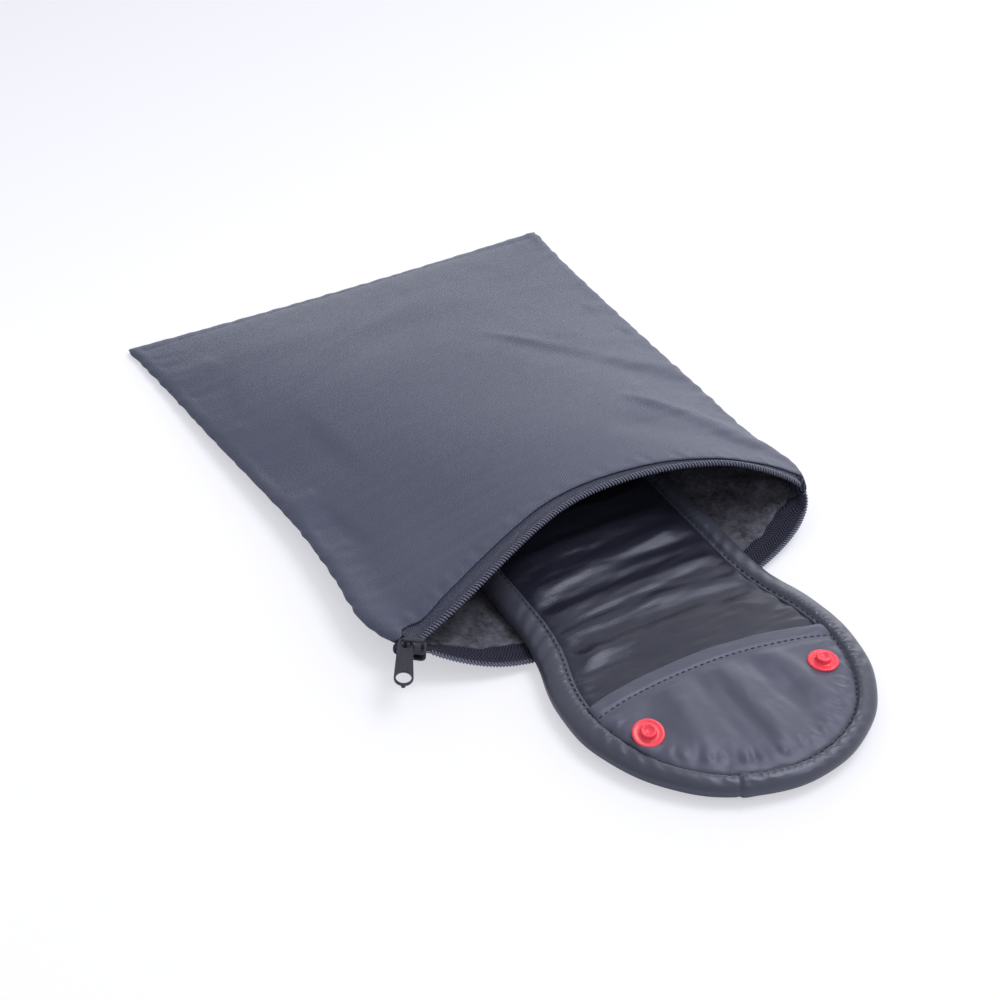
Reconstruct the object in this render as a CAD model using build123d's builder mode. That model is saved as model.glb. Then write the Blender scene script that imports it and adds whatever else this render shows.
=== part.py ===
"""Zip-mouthed pouch of coated fabric, lying open, with a padded bound panel half out of its mouth.

Frame: the table is Z = 0, the closed back of the pouch is towards +Y and the mouth towards -Y.
All sizes are in millimetres.
"""
import os
from math import sqrt

from build123d import *

# --- Pouch: outline in plan ---
pouch_width = 200.0        # across the closed back
mouth_width = 190.0        # across the side seams at the mouth
pouch_back = 104.0         # Y of the back edge
seam_end = -120.0          # Y where the side seams end
mouth_shift = -7.0         # the mouth lies this far to the left of the back's middle
flange = 4.0               # flat edge of each sheet along the side seams
back_flange = 6.0          # flat edge of each sheet along the back

# --- Pouch: heights ---
sheet = 0.8                # coated outer fabric
lining = 0.8               # brushed lining
lining_gap = 0.2           # between a lining and its outer sheet
tape = 0.4                 # woven zip tape
tape_gap = 0.1             # between a tape and its outer sheet
seam_gap = 0.8             # between the outer sheets at a seam, filled by the folded allowance
back_seam_height = 1.6     # middle of the back seam
corner_height = 12.7       # middle of the zip at both ends of the mouth
dish_reach = 42.0          # width of the turned-up part of the bottom sheet

# --- Mouth ---
left_inset = 5.5           # from the side seam's outer edge to the zip's middle at each end
right_inset = 3.5
mouth_left = mouth_shift - mouth_width / 2
mouth_right = mouth_shift + mouth_width / 2
left_corner = Vector(mouth_left + left_inset, seam_end - 3.0, corner_height)
right_corner = Vector(mouth_right - right_inset, seam_end + 8.5, corner_height)
lip_rise = 19.3            # the upper coil's highest point above the corners
lip_top = Vector(mouth_shift + 15.0, seam_end + 21.0, corner_height + lip_rise)
lip_front = seam_end - 20.0                   # Y of the lower coil's straight stretch
coil_radius = 1.05
coil_table_gap = 0.1       # under the lower coil's straight stretch
tape_width = 12.0          # from the coil's middle to the tape's hidden edge
tape_show = 6.0            # from the coil's middle to the fabric's folded edge
mouth_lean = 0.8           # share of a length along the top sheet that lies square to the mouth
zip_fit = 0.25             # between the coil and the edge of its tape
arch_steps = 6
arch_power = 0.6           # how fast the top sheet rises from the back seam
back_rise = 0.3
lining_inset = 14.0        # from the side seam to the linings' edges
lining_back = 85.0         # Y of the linings' back edge
tape_inset = 6.0           # from the side seam to the ends of the tapes
allowance_width = 11.5
allowance_edge = 0.5       # from the seam's outer edge to the allowance
allowance_fit = 0.05       # between the allowance and each sheet

# --- Zip slider: long axis turned from +X by slider_turn ---
slider_place = left_corner + Vector(-1.0, -1.3, 0)
slider_turn = -32.0
slider_length = 9.2
slider_front = 7.6
slider_rear = 6.2
plate = 0.8
channel = 2.2              # between the two plates
tape_slot = 0.9            # between the flanges, where the tapes leave
flange_wall = 0.7
slider_stop_gap = 19.365    # the travel ends this much short of the distance between the corners
slider_travel = (right_corner - left_corner).length - slider_stop_gap
slider_clear = 0.4         # kept free around the slider over its whole travel
bridge_width = 2.0
bridge_gap = 2.6           # under the bridge
bridge_wall = 1.0
bridge_leg = 1.2
bridge_back = -3.6         # rear face of the rear leg, along the slider
bridge_front = 3.9
leaf = 0.3                 # lock spring
leaf_width = 1.0
lock_reach = 0.5           # how far the lock pin stands into the channel
lock_place = 0.2           # from the slider's middle to the pin
pin_fit = 0.15

# --- Pull tab ---
pull_thickness = 1.1
pull_top = 5.4
pull_end = 7.0
pull_length = 16.4         # from the bridge's leg to the middle of the round hole
pull_slot = 3.4
pull_slot_run = 0.9
pull_hole = 5.6
pull_height = 1.35         # middle of the tab above the slider's top plate
pull_droop = 6.0           # degrees down from the leg
pull_nib = 0.9

# --- Zip ends ---
chain_width = 4.4
chain_height = 1.6
chain_length = 5.6
end_gap = 0.3
tab_width = 8.6
tab_wall = 0.7
tab_length = 5.0

# --- Padded panel, lying on the lower lip ---
panel_gap = 0.4            # between the panel's underside and the lower coil
panel_bottom = coil_table_gap + 2 * coil_radius + panel_gap
waist_gap = 3.0            # from the waist to the turned-up part of the bottom sheet
waist_half = mouth_width / 2 - dish_reach - waist_gap
waist_y = seam_end - 5.0
panel_middle = mouth_shift + 2.6              # X of the panel's centre line at the waist
panel_turn = -2.0          # degrees, turned about the middle of the waist
lobe_radius = 59.5
lobe_y = seam_end - 60.5
panel_inner = seam_end + 62.0                 # Y of the hidden end
panel_corner = 18.0
binding_width = 9.0
binding_height = 7.0
binding_round = 2.6
cap_recess = 1.2           # from the binding's underside to the back cover
cover = 0.6
core = 3.5
hem = 0.4
pocket = 0.5
fit = 0.1                  # between the covers' edges and the binding
core_inset = 2.0
hem_y = lobe_y + 8.5       # Y of the pocket's opening edge, in the middle
hem_radius = 237.0
hem_width = 6.0

# --- Plastic snaps ---
snap_middle = panel_middle - 3.5              # X half way between the two snaps
snap_spacing = 77.6
snap_y = lobe_y - 16.9
snap_skew = 0.8            # each snap's Y away from snap_y
stud_radius = 5.8
stud_base = 1.3
boss_radius = 3.0
boss_height = 3.2
cap_radius = 6.0
cap_height = 1.0
post_radius = 1.5
post_fit = 0.05

os.makedirs("parts", exist_ok=True)


def write(part, name):
    """Label a finished piece and write it under its own name."""
    part.label = name
    export_step(part, f"parts/{name}.step")


# ---------------------------------------------------------------------------
# Pouch
# ---------------------------------------------------------------------------
def along(y):
    """0 at the back edge, 1 where the side seams end."""
    return (pouch_back - y) / (pouch_back - seam_end)


def half_width(y):
    return (pouch_width - (pouch_width - mouth_width) * along(y)) / 2


def middle(y):
    return mouth_shift * along(y)


def seam_height(y):
    """Middle of the side seam."""
    return back_seam_height + (corner_height - back_seam_height) * along(y)


def swell(y):
    """Share of the mouth's rise that the top sheet has reached."""
    return max((pouch_back - back_flange - y) / (pouch_back - back_flange - seam_end), 0) ** arch_power


mouth_rise = (lip_top.Z - seam_height(lip_top.Y) - seam_gap / 2 + tape_gap + tape / 2) / swell(lip_top.Y)
mouth_line = min(left_corner.Y, lip_top.Y) - 3
arch_run = pouch_back - back_flange - mouth_line
arch_stations = [pouch_back] + [
    pouch_back - back_flange - arch_run * (step / arch_steps) ** 1.5 for step in range(arch_steps + 1)
]


def section_plane(y):
    return Plane(origin=(middle(y), y, 0), x_dir=(1, 0, 0), z_dir=(0, -1, 0))


def arch_section(y, drop, thickness):
    """Section of an arched sheet, drop below the outer sheet, with flat flanges at its edges."""
    edge = half_width(y)
    bend = edge - flange
    low = seam_height(y) + seam_gap / 2 - drop
    with BuildSketch(section_plane(y)) as section:
        with BuildLine():
            for face in (low, low + thickness):
                Line((-edge, face), (-bend, face))
                ThreePointArc((-bend, face), (0, face + back_rise + mouth_rise * swell(y)), (bend, face))
                Line((bend, face), (edge, face))
            for side in (-edge, edge):
                Line((side, low), (side, low + thickness))
        make_face()
    return section.sketch


def dish_section(y, lift, thickness):
    """Section of a sheet that lies flat in its middle and turns up to its flanges."""
    edge = half_width(y)
    bend = edge - flange
    flat = edge - dish_reach
    low = seam_height(y) - seam_gap / 2 - sheet + lift
    with BuildSketch(section_plane(y)) as section:
        with BuildLine():
            for step in (0, thickness):
                Line((-flat, lift + step), (flat, lift + step))
                for side in (-1, 1):
                    TangentArc((side * flat, lift + step), (side * bend, low + step), tangent=(side, 0))
                    Line((side * bend, low + step), (side * edge, low + step))
            for side in (-edge, edge):
                Line((side, low), (side, low + thickness))
        make_face()
    return section.sketch


def inner_outline(inset, back, front):
    """Plan of the pouch inside its side seams, between two Y levels."""
    with BuildSketch() as outline:
        with BuildLine():
            Polyline(
                *[
                    (middle(y) + side * (half_width(y) - inset), y)
                    for y, side in ((back, -1), (back, 1), (front, 1), (front, -1))
                ],
                close=True,
            )
        make_face()
    return outline.sketch


flat_left = mouth_left + dish_reach
flat_right = mouth_right - dish_reach
coil_height = coil_table_gap + coil_radius


def behind_lower_lip(distance):
    """Plan of everything that lies at least distance behind the lower coil's middle."""
    far = pouch_width
    front = lip_front + distance
    right = (right_corner.X - distance, right_corner.Y)
    left = (left_corner.X + distance, left_corner.Y)
    with BuildSketch() as outline:
        with BuildLine():
            Line((flat_left, front), (flat_right, front))
            TangentArc((flat_right, front), right, tangent=(1, 0))
            Polyline(right, (far, right_corner.Y), (far, far), (-far, far), (-far, left_corner.Y), left)
            TangentArc((flat_left, front), left, tangent=(-1, 0))
        make_face()
    return outline.sketch


# The plane that the upper coil lies in, with its normal towards the back of the pouch.
mouth_plane = Plane(
    origin=lip_top,
    x_dir=right_corner - left_corner,
    z_dir=(lip_top - left_corner).cross(right_corner - left_corner),
)
slider_plane = Plane(origin=slider_place, x_dir=Vector(1, 0, 0).rotate(Axis.Z, slider_turn), z_dir=(0, 0, 1))
slider_top = channel / 2 + plate
bridge_top = slider_top + bridge_gap + bridge_wall
chain_start = -slider_length / 2 - end_gap
tab_start = chain_start - end_gap

right_tab = (right_corner.X, right_corner.Y - tab_length / 2 + coil_radius)
slider_end = slider_place + (right_corner - left_corner).normalized() * slider_travel

# Room for the slider over its whole travel, and for the folded ends of the zip.
with BuildPart() as zip_room:
    with BuildSketch(Plane.XY.offset(corner_height - slider_top - slider_clear)):
        with Locations((slider_place.X, slider_place.Y), (slider_end.X, slider_end.Y)):
            Rectangle(
                slider_length + 2 * slider_clear, slider_front + 2 * slider_clear, rotation=slider_turn
            )
        make_hull()
    extrude(amount=bridge_top + slider_top + 2 * slider_clear)
    with BuildSketch(slider_plane.offset(-chain_height / 2 - tab_wall - end_gap)):
        with Locations((tab_start - tab_length / 2, 0)):
            Rectangle(tab_length + 2 * end_gap, tab_width + 2 * end_gap)
    extrude(amount=chain_height + 2 * (tab_wall + end_gap))
    with BuildSketch(Plane.XY.offset(corner_height - tab_length / 4)):
        with Locations(right_tab):
            Rectangle(tab_length + 2 * end_gap, tab_length + 2 * end_gap)
    extrude(amount=tab_length / 2)

with BuildPart() as top_panel:
    loft(sections=[arch_section(y, 0, sheet) for y in arch_stations], ruled=True)
    split(bisect_by=mouth_plane.offset(tape_show * mouth_lean), keep=Keep.TOP)
    add(zip_room.part, mode=Mode.SUBTRACT)
write(top_panel.part, "top_panel")

with BuildPart() as top_lining:
    drop = lining_gap + lining
    loft(sections=[arch_section(y, drop, lining) for y in arch_stations], ruled=True)
    split(bisect_by=mouth_plane.offset(tape_width * mouth_lean + lining_gap), keep=Keep.TOP)
    add(extrude(inner_outline(lining_inset, lining_back, mouth_line), 2 * lip_top.Z, mode=Mode.PRIVATE),
        mode=Mode.INTERSECT)
write(top_lining.part, "top_lining")

with BuildPart() as upper_tape:
    drop = tape_gap + tape
    loft(sections=[arch_section(y, drop, tape) for y in arch_stations], ruled=True)
    split(bisect_by=mouth_plane.offset(coil_radius + zip_fit), keep=Keep.TOP)
    split(bisect_by=mouth_plane.offset(tape_width * mouth_lean), keep=Keep.BOTTOM)
    add(extrude(inner_outline(tape_inset, lining_back, mouth_line), 2 * lip_top.Z, mode=Mode.PRIVATE),
        mode=Mode.INTERSECT)
    add(zip_room.part, mode=Mode.SUBTRACT)
write(upper_tape.part, "upper_tape")

dish_stations = (pouch_back, seam_end, lip_front - 1)

with BuildPart() as bottom_panel:
    loft(sections=[dish_section(y, 0, sheet) for y in dish_stations], ruled=True)
    add(extrude(behind_lower_lip(tape_show), 2 * corner_height, mode=Mode.PRIVATE), mode=Mode.INTERSECT)
    add(zip_room.part, mode=Mode.SUBTRACT)
write(bottom_panel.part, "bottom_panel")

with BuildPart() as bottom_lining:
    loft(sections=[dish_section(y, sheet + lining_gap, lining) for y in dish_stations], ruled=True)
    add(extrude(behind_lower_lip(tape_width + lining_gap), 2 * corner_height, mode=Mode.PRIVATE),
        mode=Mode.INTERSECT)
    add(extrude(inner_outline(lining_inset, lining_back, mouth_line), 2 * corner_height, mode=Mode.PRIVATE),
        mode=Mode.INTERSECT)
write(bottom_lining.part, "bottom_lining")

with BuildPart() as lower_tape:
    loft(sections=[dish_section(y, sheet + tape_gap, tape) for y in dish_stations], ruled=True)
    add(extrude(behind_lower_lip(coil_radius + zip_fit), 2 * corner_height, mode=Mode.PRIVATE),
        mode=Mode.INTERSECT)
    add(extrude(behind_lower_lip(tape_width), 2 * corner_height, mode=Mode.PRIVATE), mode=Mode.SUBTRACT)
    add(extrude(inner_outline(tape_inset, lining_back, lip_front), 2 * corner_height, mode=Mode.PRIVATE),
        mode=Mode.INTERSECT)
    add(zip_room.part, mode=Mode.SUBTRACT)
write(lower_tape.part, "lower_tape")

# Folded seam allowances, held between the two outer sheets.
allowance = seam_gap - 2 * allowance_fit
side_back = pouch_back - allowance_edge - allowance_width - end_gap
side_front = right_corner.Y + tape_show


def allowance_section(y, place, width):
    with BuildSketch(section_plane(y)) as section:
        with Locations((place, seam_height(y))):
            Rectangle(width, allowance)
    return section.sketch


def side_section(y, side):
    place = half_width(y) - allowance_edge - allowance_width / 2
    return allowance_section(y, side * place, allowance_width)


for side, name in ((-1, "left_seam_allowance"), (1, "right_seam_allowance")):
    with BuildPart() as side_allowance:
        loft(sections=[side_section(y, side) for y in (side_back, side_front)], ruled=True)
        add(zip_room.part, mode=Mode.SUBTRACT)
    write(side_allowance.part, name)

back_span = pouch_width - 2 * allowance_width

with BuildPart() as back_seam_allowance:
    back_edges = (pouch_back - allowance_edge, pouch_back - allowance_edge - allowance_width)
    loft(sections=[allowance_section(y, 0, back_span) for y in back_edges], ruled=True)
write(back_seam_allowance.part, "back_seam_allowance")

# Coils: one arc along the upper lip; along the lower lip a straight stretch and an arc up to each corner.
with BuildPart() as upper_coil:
    with BuildLine() as path:
        ThreePointArc(left_corner, lip_top, right_corner)
    with BuildSketch(Plane(origin=path.line @ 0, z_dir=path.line % 0)):
        Circle(coil_radius)
    sweep()
    add(zip_room.part, mode=Mode.SUBTRACT)
write(upper_coil.part, "upper_coil")

with BuildPart() as lower_coil:
    with BuildLine() as path:
        front = Line((flat_left, lip_front, coil_height), (flat_right, lip_front, coil_height))
        TangentArc(front @ 1, right_corner, tangent=(1, 0, 0))
        TangentArc(front @ 0, left_corner, tangent=(-1, 0, 0))
    with BuildSketch(Plane(origin=front @ 0, z_dir=front % 0)):
        Circle(coil_radius)
    sweep(path=path.wire())
    add(zip_room.part, mode=Mode.SUBTRACT)
write(lower_coil.part, "lower_coil")

with BuildPart() as closed_chain:
    with BuildSketch(slider_plane.offset(-chain_height / 2)):
        with Locations((chain_start - chain_length / 2, 0)):
            RectangleRounded(chain_length, chain_width, chain_width / 6)
    extrude(amount=chain_height)
write(closed_chain.part, "closed_chain")

with BuildPart() as left_end_tab:
    with BuildSketch(slider_plane.offset(-chain_height / 2 - tab_wall)):
        with Locations((tab_start - tab_length / 2, 0)):
            RectangleRounded(tab_length, tab_width, tab_width / 6)
    extrude(amount=chain_height + 2 * tab_wall)
    add(closed_chain.part, mode=Mode.SUBTRACT)
write(left_end_tab.part, "left_end_tab")

with BuildPart() as right_end_tab:
    with BuildSketch(Plane.XY.offset(corner_height - tab_wall)):
        with Locations(right_tab):
            RectangleRounded(tab_length, tab_length, tab_length / 6)
    extrude(amount=2 * tab_wall)
write(right_end_tab.part, "right_end_tab")


# ---------------------------------------------------------------------------
# Zip slider
# ---------------------------------------------------------------------------
def slider_outline():
    """Plan of a slider plate: wide at the front, narrower at the rear, with rounded corners."""
    with BuildSketch() as outline:
        with BuildLine():
            Polyline(
                (-slider_length / 2, -slider_rear / 2),
                (0, -slider_rear / 2),
                (slider_length / 2, -slider_front / 2),
                (slider_length / 2, slider_front / 2),
                (0, slider_rear / 2),
                (-slider_length / 2, slider_rear / 2),
                close=True,
            )
        make_face()
        fillet(outline.vertices().group_by(Axis.X)[0], slider_rear / 4)
        fillet(outline.vertices().group_by(Axis.X)[-1], slider_front / 4)
    return outline.sketch


with BuildPart() as slider_body:
    for level in (-slider_top, channel / 2):
        with BuildSketch(slider_plane.offset(level)):
            add(slider_outline())
        extrude(amount=plate)
    with BuildSketch(slider_plane.offset(-channel / 2)):
        with Locations((slider_length / 2 - slider_rear / 4 - plate, 0)):
            Ellipse(slider_rear / 4, slider_rear / 6)
    extrude(amount=channel)
    for level in (-channel / 2, tape_slot / 2):
        with BuildSketch(slider_plane.offset(level)):
            flange_middle = (slider_rear - flange_wall) / 2
            with Locations(*[(-slider_length / 5, side * flange_middle) for side in (-1, 1)]):
                Rectangle(slider_length / 2, flange_wall)
        extrude(amount=(channel - tape_slot) / 2)
    with BuildSketch(slider_plane.offset(channel / 2)):
        with Locations((lock_place, 0)):
            Rectangle(leaf + 2 * pin_fit, leaf_width + 2 * pin_fit)
    extrude(amount=plate, mode=Mode.SUBTRACT)
    rims = slider_body.faces().sort_by(Axis.Z)
    fillet(rims[-1].outer_wire().edges() + rims[0].outer_wire().edges(), plate / 3)
write(slider_body.part, "slider_body")

bridge_plane = Plane(
    origin=slider_place + Vector(0, 0, slider_top), x_dir=slider_plane.x_dir, z_dir=-slider_plane.y_dir
)

with BuildPart() as slider_bridge:
    with BuildSketch(bridge_plane):
        with Locations(((bridge_back + bridge_front) / 2, (bridge_gap + bridge_wall) / 2)):
            Rectangle(bridge_front - bridge_back, bridge_gap + bridge_wall)
        with Locations(((bridge_back + bridge_front) / 2, bridge_gap / 2)):
            Rectangle(bridge_front - bridge_back - 2 * bridge_leg, bridge_gap, mode=Mode.SUBTRACT)
    extrude(amount=bridge_width / 2, both=True)
    fillet(slider_bridge.faces().sort_by(Axis.Z)[-1].edges(), bridge_wall / 3)
write(slider_bridge.part, "slider_bridge")

# Leaf spring under the bridge, with the lock pin that reaches into the channel.
with BuildPart() as lock_spring:
    leaf_back = bridge_back + bridge_leg + pin_fit
    leaf_front = bridge_front - bridge_leg - pin_fit
    with BuildSketch(bridge_plane):
        with Locations(((leaf_back + leaf_front) / 2, bridge_gap - leaf / 2)):
            Rectangle(leaf_front - leaf_back, leaf)
        pin_length = bridge_gap + plate + lock_reach
        with Locations((lock_place, bridge_gap - pin_length / 2)):
            Rectangle(leaf, pin_length)
    extrude(amount=leaf_width / 2, both=True)
write(lock_spring.part, "lock_spring")


# ---------------------------------------------------------------------------
# Pull tab, looped round the rear leg of the bridge
# ---------------------------------------------------------------------------
leg_middle = bridge_plane.from_local_coords((bridge_back + bridge_leg / 2, pull_height, 0))
pull_run = (-slider_plane.y_dir).rotate(Axis((0, 0, 0), slider_plane.x_dir), pull_droop)
pull_plane = Plane(origin=leg_middle, x_dir=slider_plane.x_dir, z_dir=slider_plane.x_dir.cross(pull_run))

with BuildPart() as pull_tab:
    with BuildSketch(pull_plane):
        with Locations((0, pull_slot_run / 2)):
            Circle(pull_top / 2)
        with Locations((0, pull_length)):
            Circle(pull_end / 2)
        make_hull()
        with Locations((0, pull_length + pull_end / 2)):
            Circle(pull_nib)
        with Locations((0, pull_length)):
            Circle(pull_hole / 2, mode=Mode.SUBTRACT)
        with Locations((0, pull_slot_run / 2)):
            SlotCenterToCenter(pull_slot_run, pull_slot, rotation=90, mode=Mode.SUBTRACT)
    extrude(amount=pull_thickness / 2, both=True)
write(pull_tab.part, "pull_tab")


# ---------------------------------------------------------------------------
# Padded panel
# ---------------------------------------------------------------------------
panel_plane = Plane(
    origin=Vector(panel_middle, waist_y, 0) - Vector(0, waist_y, 0).rotate(Axis.Z, panel_turn),
    x_dir=Vector(1, 0, 0).rotate(Axis.Z, panel_turn),
    z_dir=(0, 0, 1),
)


def panel_outline(inset):
    """Plan of the panel: round lobe, narrower waist, square hidden end."""
    sway = (lobe_radius + waist_half) / 2
    with BuildSketch(panel_plane) as outline:
        with BuildLine():
            RadiusArc((0, lobe_y - lobe_radius), (lobe_radius, lobe_y), -lobe_radius)
            TangentArc((lobe_radius, lobe_y), (sway, (lobe_y + waist_y) / 2), tangent=(0, 1))
            TangentArc((waist_half, waist_y), (sway, (lobe_y + waist_y) / 2), tangent=(0, -1))
            Line((waist_half, waist_y), (waist_half, panel_inner - panel_corner))
            corner_start = (waist_half, panel_inner - panel_corner)
            TangentArc(corner_start, (waist_half - panel_corner, panel_inner), tangent=(0, 1))
            Line((waist_half - panel_corner, panel_inner), (0, panel_inner))
            mirror(about=Plane.YZ)
        make_face()
        if inset:
            offset(amount=-inset, mode=Mode.REPLACE)
    return outline.sketch


def below_hem(distance):
    """Plan of the tip side of the pocket's opening edge, moved towards the tip by distance."""
    reach = 1.3 * lobe_radius
    ends = hem_y - distance - (hem_radius - sqrt(hem_radius ** 2 - reach ** 2))
    tip = lobe_y - 2 * lobe_radius
    with BuildSketch(panel_plane) as region:
        with BuildLine():
            ThreePointArc((-reach, ends), (0, hem_y - distance), (reach, ends))
            Polyline((reach, ends), (reach, tip), (-reach, tip), (-reach, ends))
        make_face()
    return region.sketch


cap_face = panel_bottom + cap_recess
core_face = cap_face + cover
face_level = core_face + core
hem_level = face_level + cover
pocket_level = hem_level + hem
stud_level = pocket_level + pocket
covered = binding_width + fit
snap_places = [(snap_middle + side * snap_spacing / 2, snap_y + side * snap_skew) for side in (-1, 1)]


def flat_layer(outline, level, thickness):
    """One flat layer of the panel, with a hole for each snap's post."""
    with BuildPart() as layer:
        with BuildSketch(Plane.XY.offset(level)):
            add(outline)
            with Locations(*snap_places):
                Circle(post_radius + post_fit, mode=Mode.SUBTRACT)
        extrude(amount=thickness)
    return layer.part


with BuildPart() as edge_binding:
    with BuildSketch(Plane.XY.offset(panel_bottom)):
        add(panel_outline(0))
        add(panel_outline(binding_width), mode=Mode.SUBTRACT)
    extrude(amount=binding_height)
    rims = edge_binding.faces().filter_by(Axis.Z)
    fillet(rims.edges(), binding_round)
write(edge_binding.part, "edge_binding")

write(flat_layer(panel_outline(covered), cap_face, cover), "back_cover")
write(flat_layer(panel_outline(covered + core_inset), core_face, core), "padding_core")
write(flat_layer(panel_outline(covered), face_level, cover), "face_cover")

with BuildSketch() as pocket_outline:
    add(panel_outline(covered))
    add(below_hem(0), mode=Mode.INTERSECT)
write(flat_layer(pocket_outline.sketch, pocket_level, pocket), "pocket_panel")

with BuildPart() as pocket_hem:
    with BuildSketch(Plane.XY.offset(hem_level)):
        add(pocket_outline.sketch)
        add(below_hem(hem_width), mode=Mode.SUBTRACT)
    extrude(amount=hem)
write(pocket_hem.part, "pocket_hem")

for place, side in zip(snap_places, ("left", "right")):
    with BuildPart() as stud:
        with BuildSketch(Plane.XY.offset(stud_level)):
            with Locations(place):
                Circle(stud_radius)
        extrude(amount=stud_base)
        fillet(stud.faces().sort_by(Axis.Z)[-1].edges(), stud_base / 3)
        with BuildSketch(Plane.XY.offset(stud_level + stud_base)):
            with Locations(place):
                Circle(boss_radius)
        extrude(amount=boss_height - stud_base)
        fillet(stud.faces().sort_by(Axis.Z)[-1].edges(), stud_base / 3)
        with BuildSketch(Plane.XY.offset(stud_level)):
            with Locations(place):
                Circle(post_radius + post_fit)
        extrude(amount=boss_height, mode=Mode.SUBTRACT)
    write(stud.part, f"{side}_snap_stud")

    with BuildPart() as cap:
        with BuildSketch(Plane.XY.offset(cap_face - cap_height)):
            with Locations(place):
                Circle(cap_radius)
        extrude(amount=cap_height)
        fillet(cap.faces().sort_by(Axis.Z)[0].edges(), cap_height / 2)
        with BuildSketch(Plane.XY.offset(cap_face)):
            with Locations(place):
                Circle(post_radius)
        extrude(amount=stud_level + stud_base - cap_face)
    write(cap.part, f"{side}_snap_cap")
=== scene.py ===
"""Looks of an open zip pouch of coated fabric and the padded, bound panel that slides out of its mouth.

Shapes are worked out in millimetres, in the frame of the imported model, and become metres when a piece is
finished: the table is Z = 0, the closed back is towards +Y and the mouth towards -Y.
"""

import math

import bmesh
import bpy
import numpy as np
from bpy.props import FloatProperty, FloatVectorProperty, PointerProperty
from mathutils import Matrix, Vector, noise
from mathutils.bvhtree import BVHTree


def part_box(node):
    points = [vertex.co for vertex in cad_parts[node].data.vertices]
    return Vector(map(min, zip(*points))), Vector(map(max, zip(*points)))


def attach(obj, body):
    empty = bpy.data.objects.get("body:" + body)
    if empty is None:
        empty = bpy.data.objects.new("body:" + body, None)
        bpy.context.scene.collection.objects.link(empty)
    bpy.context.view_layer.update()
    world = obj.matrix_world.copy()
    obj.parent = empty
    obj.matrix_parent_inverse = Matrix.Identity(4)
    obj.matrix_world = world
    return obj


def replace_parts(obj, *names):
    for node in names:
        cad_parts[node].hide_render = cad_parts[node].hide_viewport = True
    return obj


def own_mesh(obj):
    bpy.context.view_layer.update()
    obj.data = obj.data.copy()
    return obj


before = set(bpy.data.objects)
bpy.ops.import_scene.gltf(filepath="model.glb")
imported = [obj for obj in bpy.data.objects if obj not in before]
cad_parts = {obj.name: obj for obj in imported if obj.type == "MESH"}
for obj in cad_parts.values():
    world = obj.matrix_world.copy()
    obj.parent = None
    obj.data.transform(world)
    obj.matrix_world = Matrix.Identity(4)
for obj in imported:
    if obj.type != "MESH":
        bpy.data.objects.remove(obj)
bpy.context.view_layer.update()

bl_info = {
    "name": "Zip pouch with padded panel",
    "version": (1, 0, 0),
    "blender": (4, 5, 0),
    "location": "View3D > Sidebar > Pouch",
    "description": "Builds the fabric, zip, panel and snaps of a zip pouch round its packed model",
    "category": "Object",
}

MM = 0.001


# ---------------------------------------------------------------------------
# Sizes and colours that a user would change
# ---------------------------------------------------------------------------
def colour(name, description, value):
    return FloatVectorProperty(
        name=name, description=description, subtype="COLOR", size=3, min=0, max=1, default=value
    )


def length(name, description, value):
    return FloatProperty(
        name=name, description=description, unit="LENGTH", subtype="DISTANCE", min=0, default=value
    )


class PouchLooks(bpy.types.PropertyGroup):
    """Sizes and colours of the pouch's fabric."""

    fabric: colour("Fabric", "Colour of the coated outer fabric", (0.072, 0.080, 0.122))
    lining: colour("Lining", "Colour of the brushed lining", (0.074, 0.075, 0.098))
    sheet: length("Sheet", "Thickness of the outer fabric", 0.0008)
    twill: length("Twill", "Distance between the twill's ribs", 0.00095)
    fold: FloatProperty(name="Folds", description="Strength of the soft folds", min=0, max=3, default=1)


class ZipLooks(bpy.types.PropertyGroup):
    """Sizes and colours of the zip."""

    tape: colour("Tape", "Colour of the woven tape", (0.062, 0.067, 0.112))
    # The tape's colour darkened about three times: painted shade of the mouth's inside, used for the lower tape and
    # the folded tape ends
    inner: colour("Inner tape", "Colour of the tape's shaded inner side", (0.018, 0.019, 0.031))
    coil: colour("Coil", "Colour of the nylon coil", (0.110, 0.115, 0.165))
    metal: colour("Slider", "Colour of the slider's paint", (0.021, 0.022, 0.031))
    pitch: length("Pitch", "Distance between two loops of the coil", 0.00127)
    wire: length("Wire", "Radius of the coil's nylon wire", 0.00038)


class PanelLooks(bpy.types.PropertyGroup):
    """Sizes and colours of the padded panel."""

    # The face and the pocket are one glossy cloth in two copies: the face's colour is darkened, partly painted shade
    # from the mouth above it, and the pocket's copy is lighter, partly a painted highlight
    fabric: colour("Fabric", "Colour of the panel's glossy fabric", (0.015, 0.016, 0.028))
    pocket: colour("Pocket", "Colour of the slip pocket", (0.070, 0.072, 0.108))
    binding: colour("Binding", "Colour of the bias binding", (0.044, 0.047, 0.068))
    # The thread's near-black colour is painted shade of the stitch holes and groove; the thread itself is about the
    # cloth's colour
    thread: colour("Thread", "Colour of the sewing thread", (0.010, 0.010, 0.014))
    voxel: length("Cloth grain", "Edge length of the cloth that is simulated", 0.0021)
    stitch: length("Stitch", "Length of one stitch", 0.0027)


class SnapLooks(bpy.types.PropertyGroup):
    """Colour and tilt of the plastic snaps."""

    plastic: colour("Plastic", "Colour of the snaps", (0.93, 0.055, 0.095))
    tilt: FloatProperty(
        name="Tilt", description="Tilt of the left snap towards the panel's tip", subtype="ANGLE",
        default=math.radians(18),
    )


class StageLooks(bpy.types.PropertyGroup):
    """Floor and light."""

    floor: colour("Floor", "Colour of the table", (0.92, 0.925, 0.985))
    world: FloatProperty(name="Surroundings", description="Strength of the even light", min=0, default=0.76)
    even: FloatProperty(
        name="Even floor", description="Share of the floor that is seen as plain white", min=0, max=1,
        default=0.52
    )
    softbox: FloatProperty(
        name="Softbox", description="Power of the light overhead", unit="POWER", min=0, default=11
    )


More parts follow.
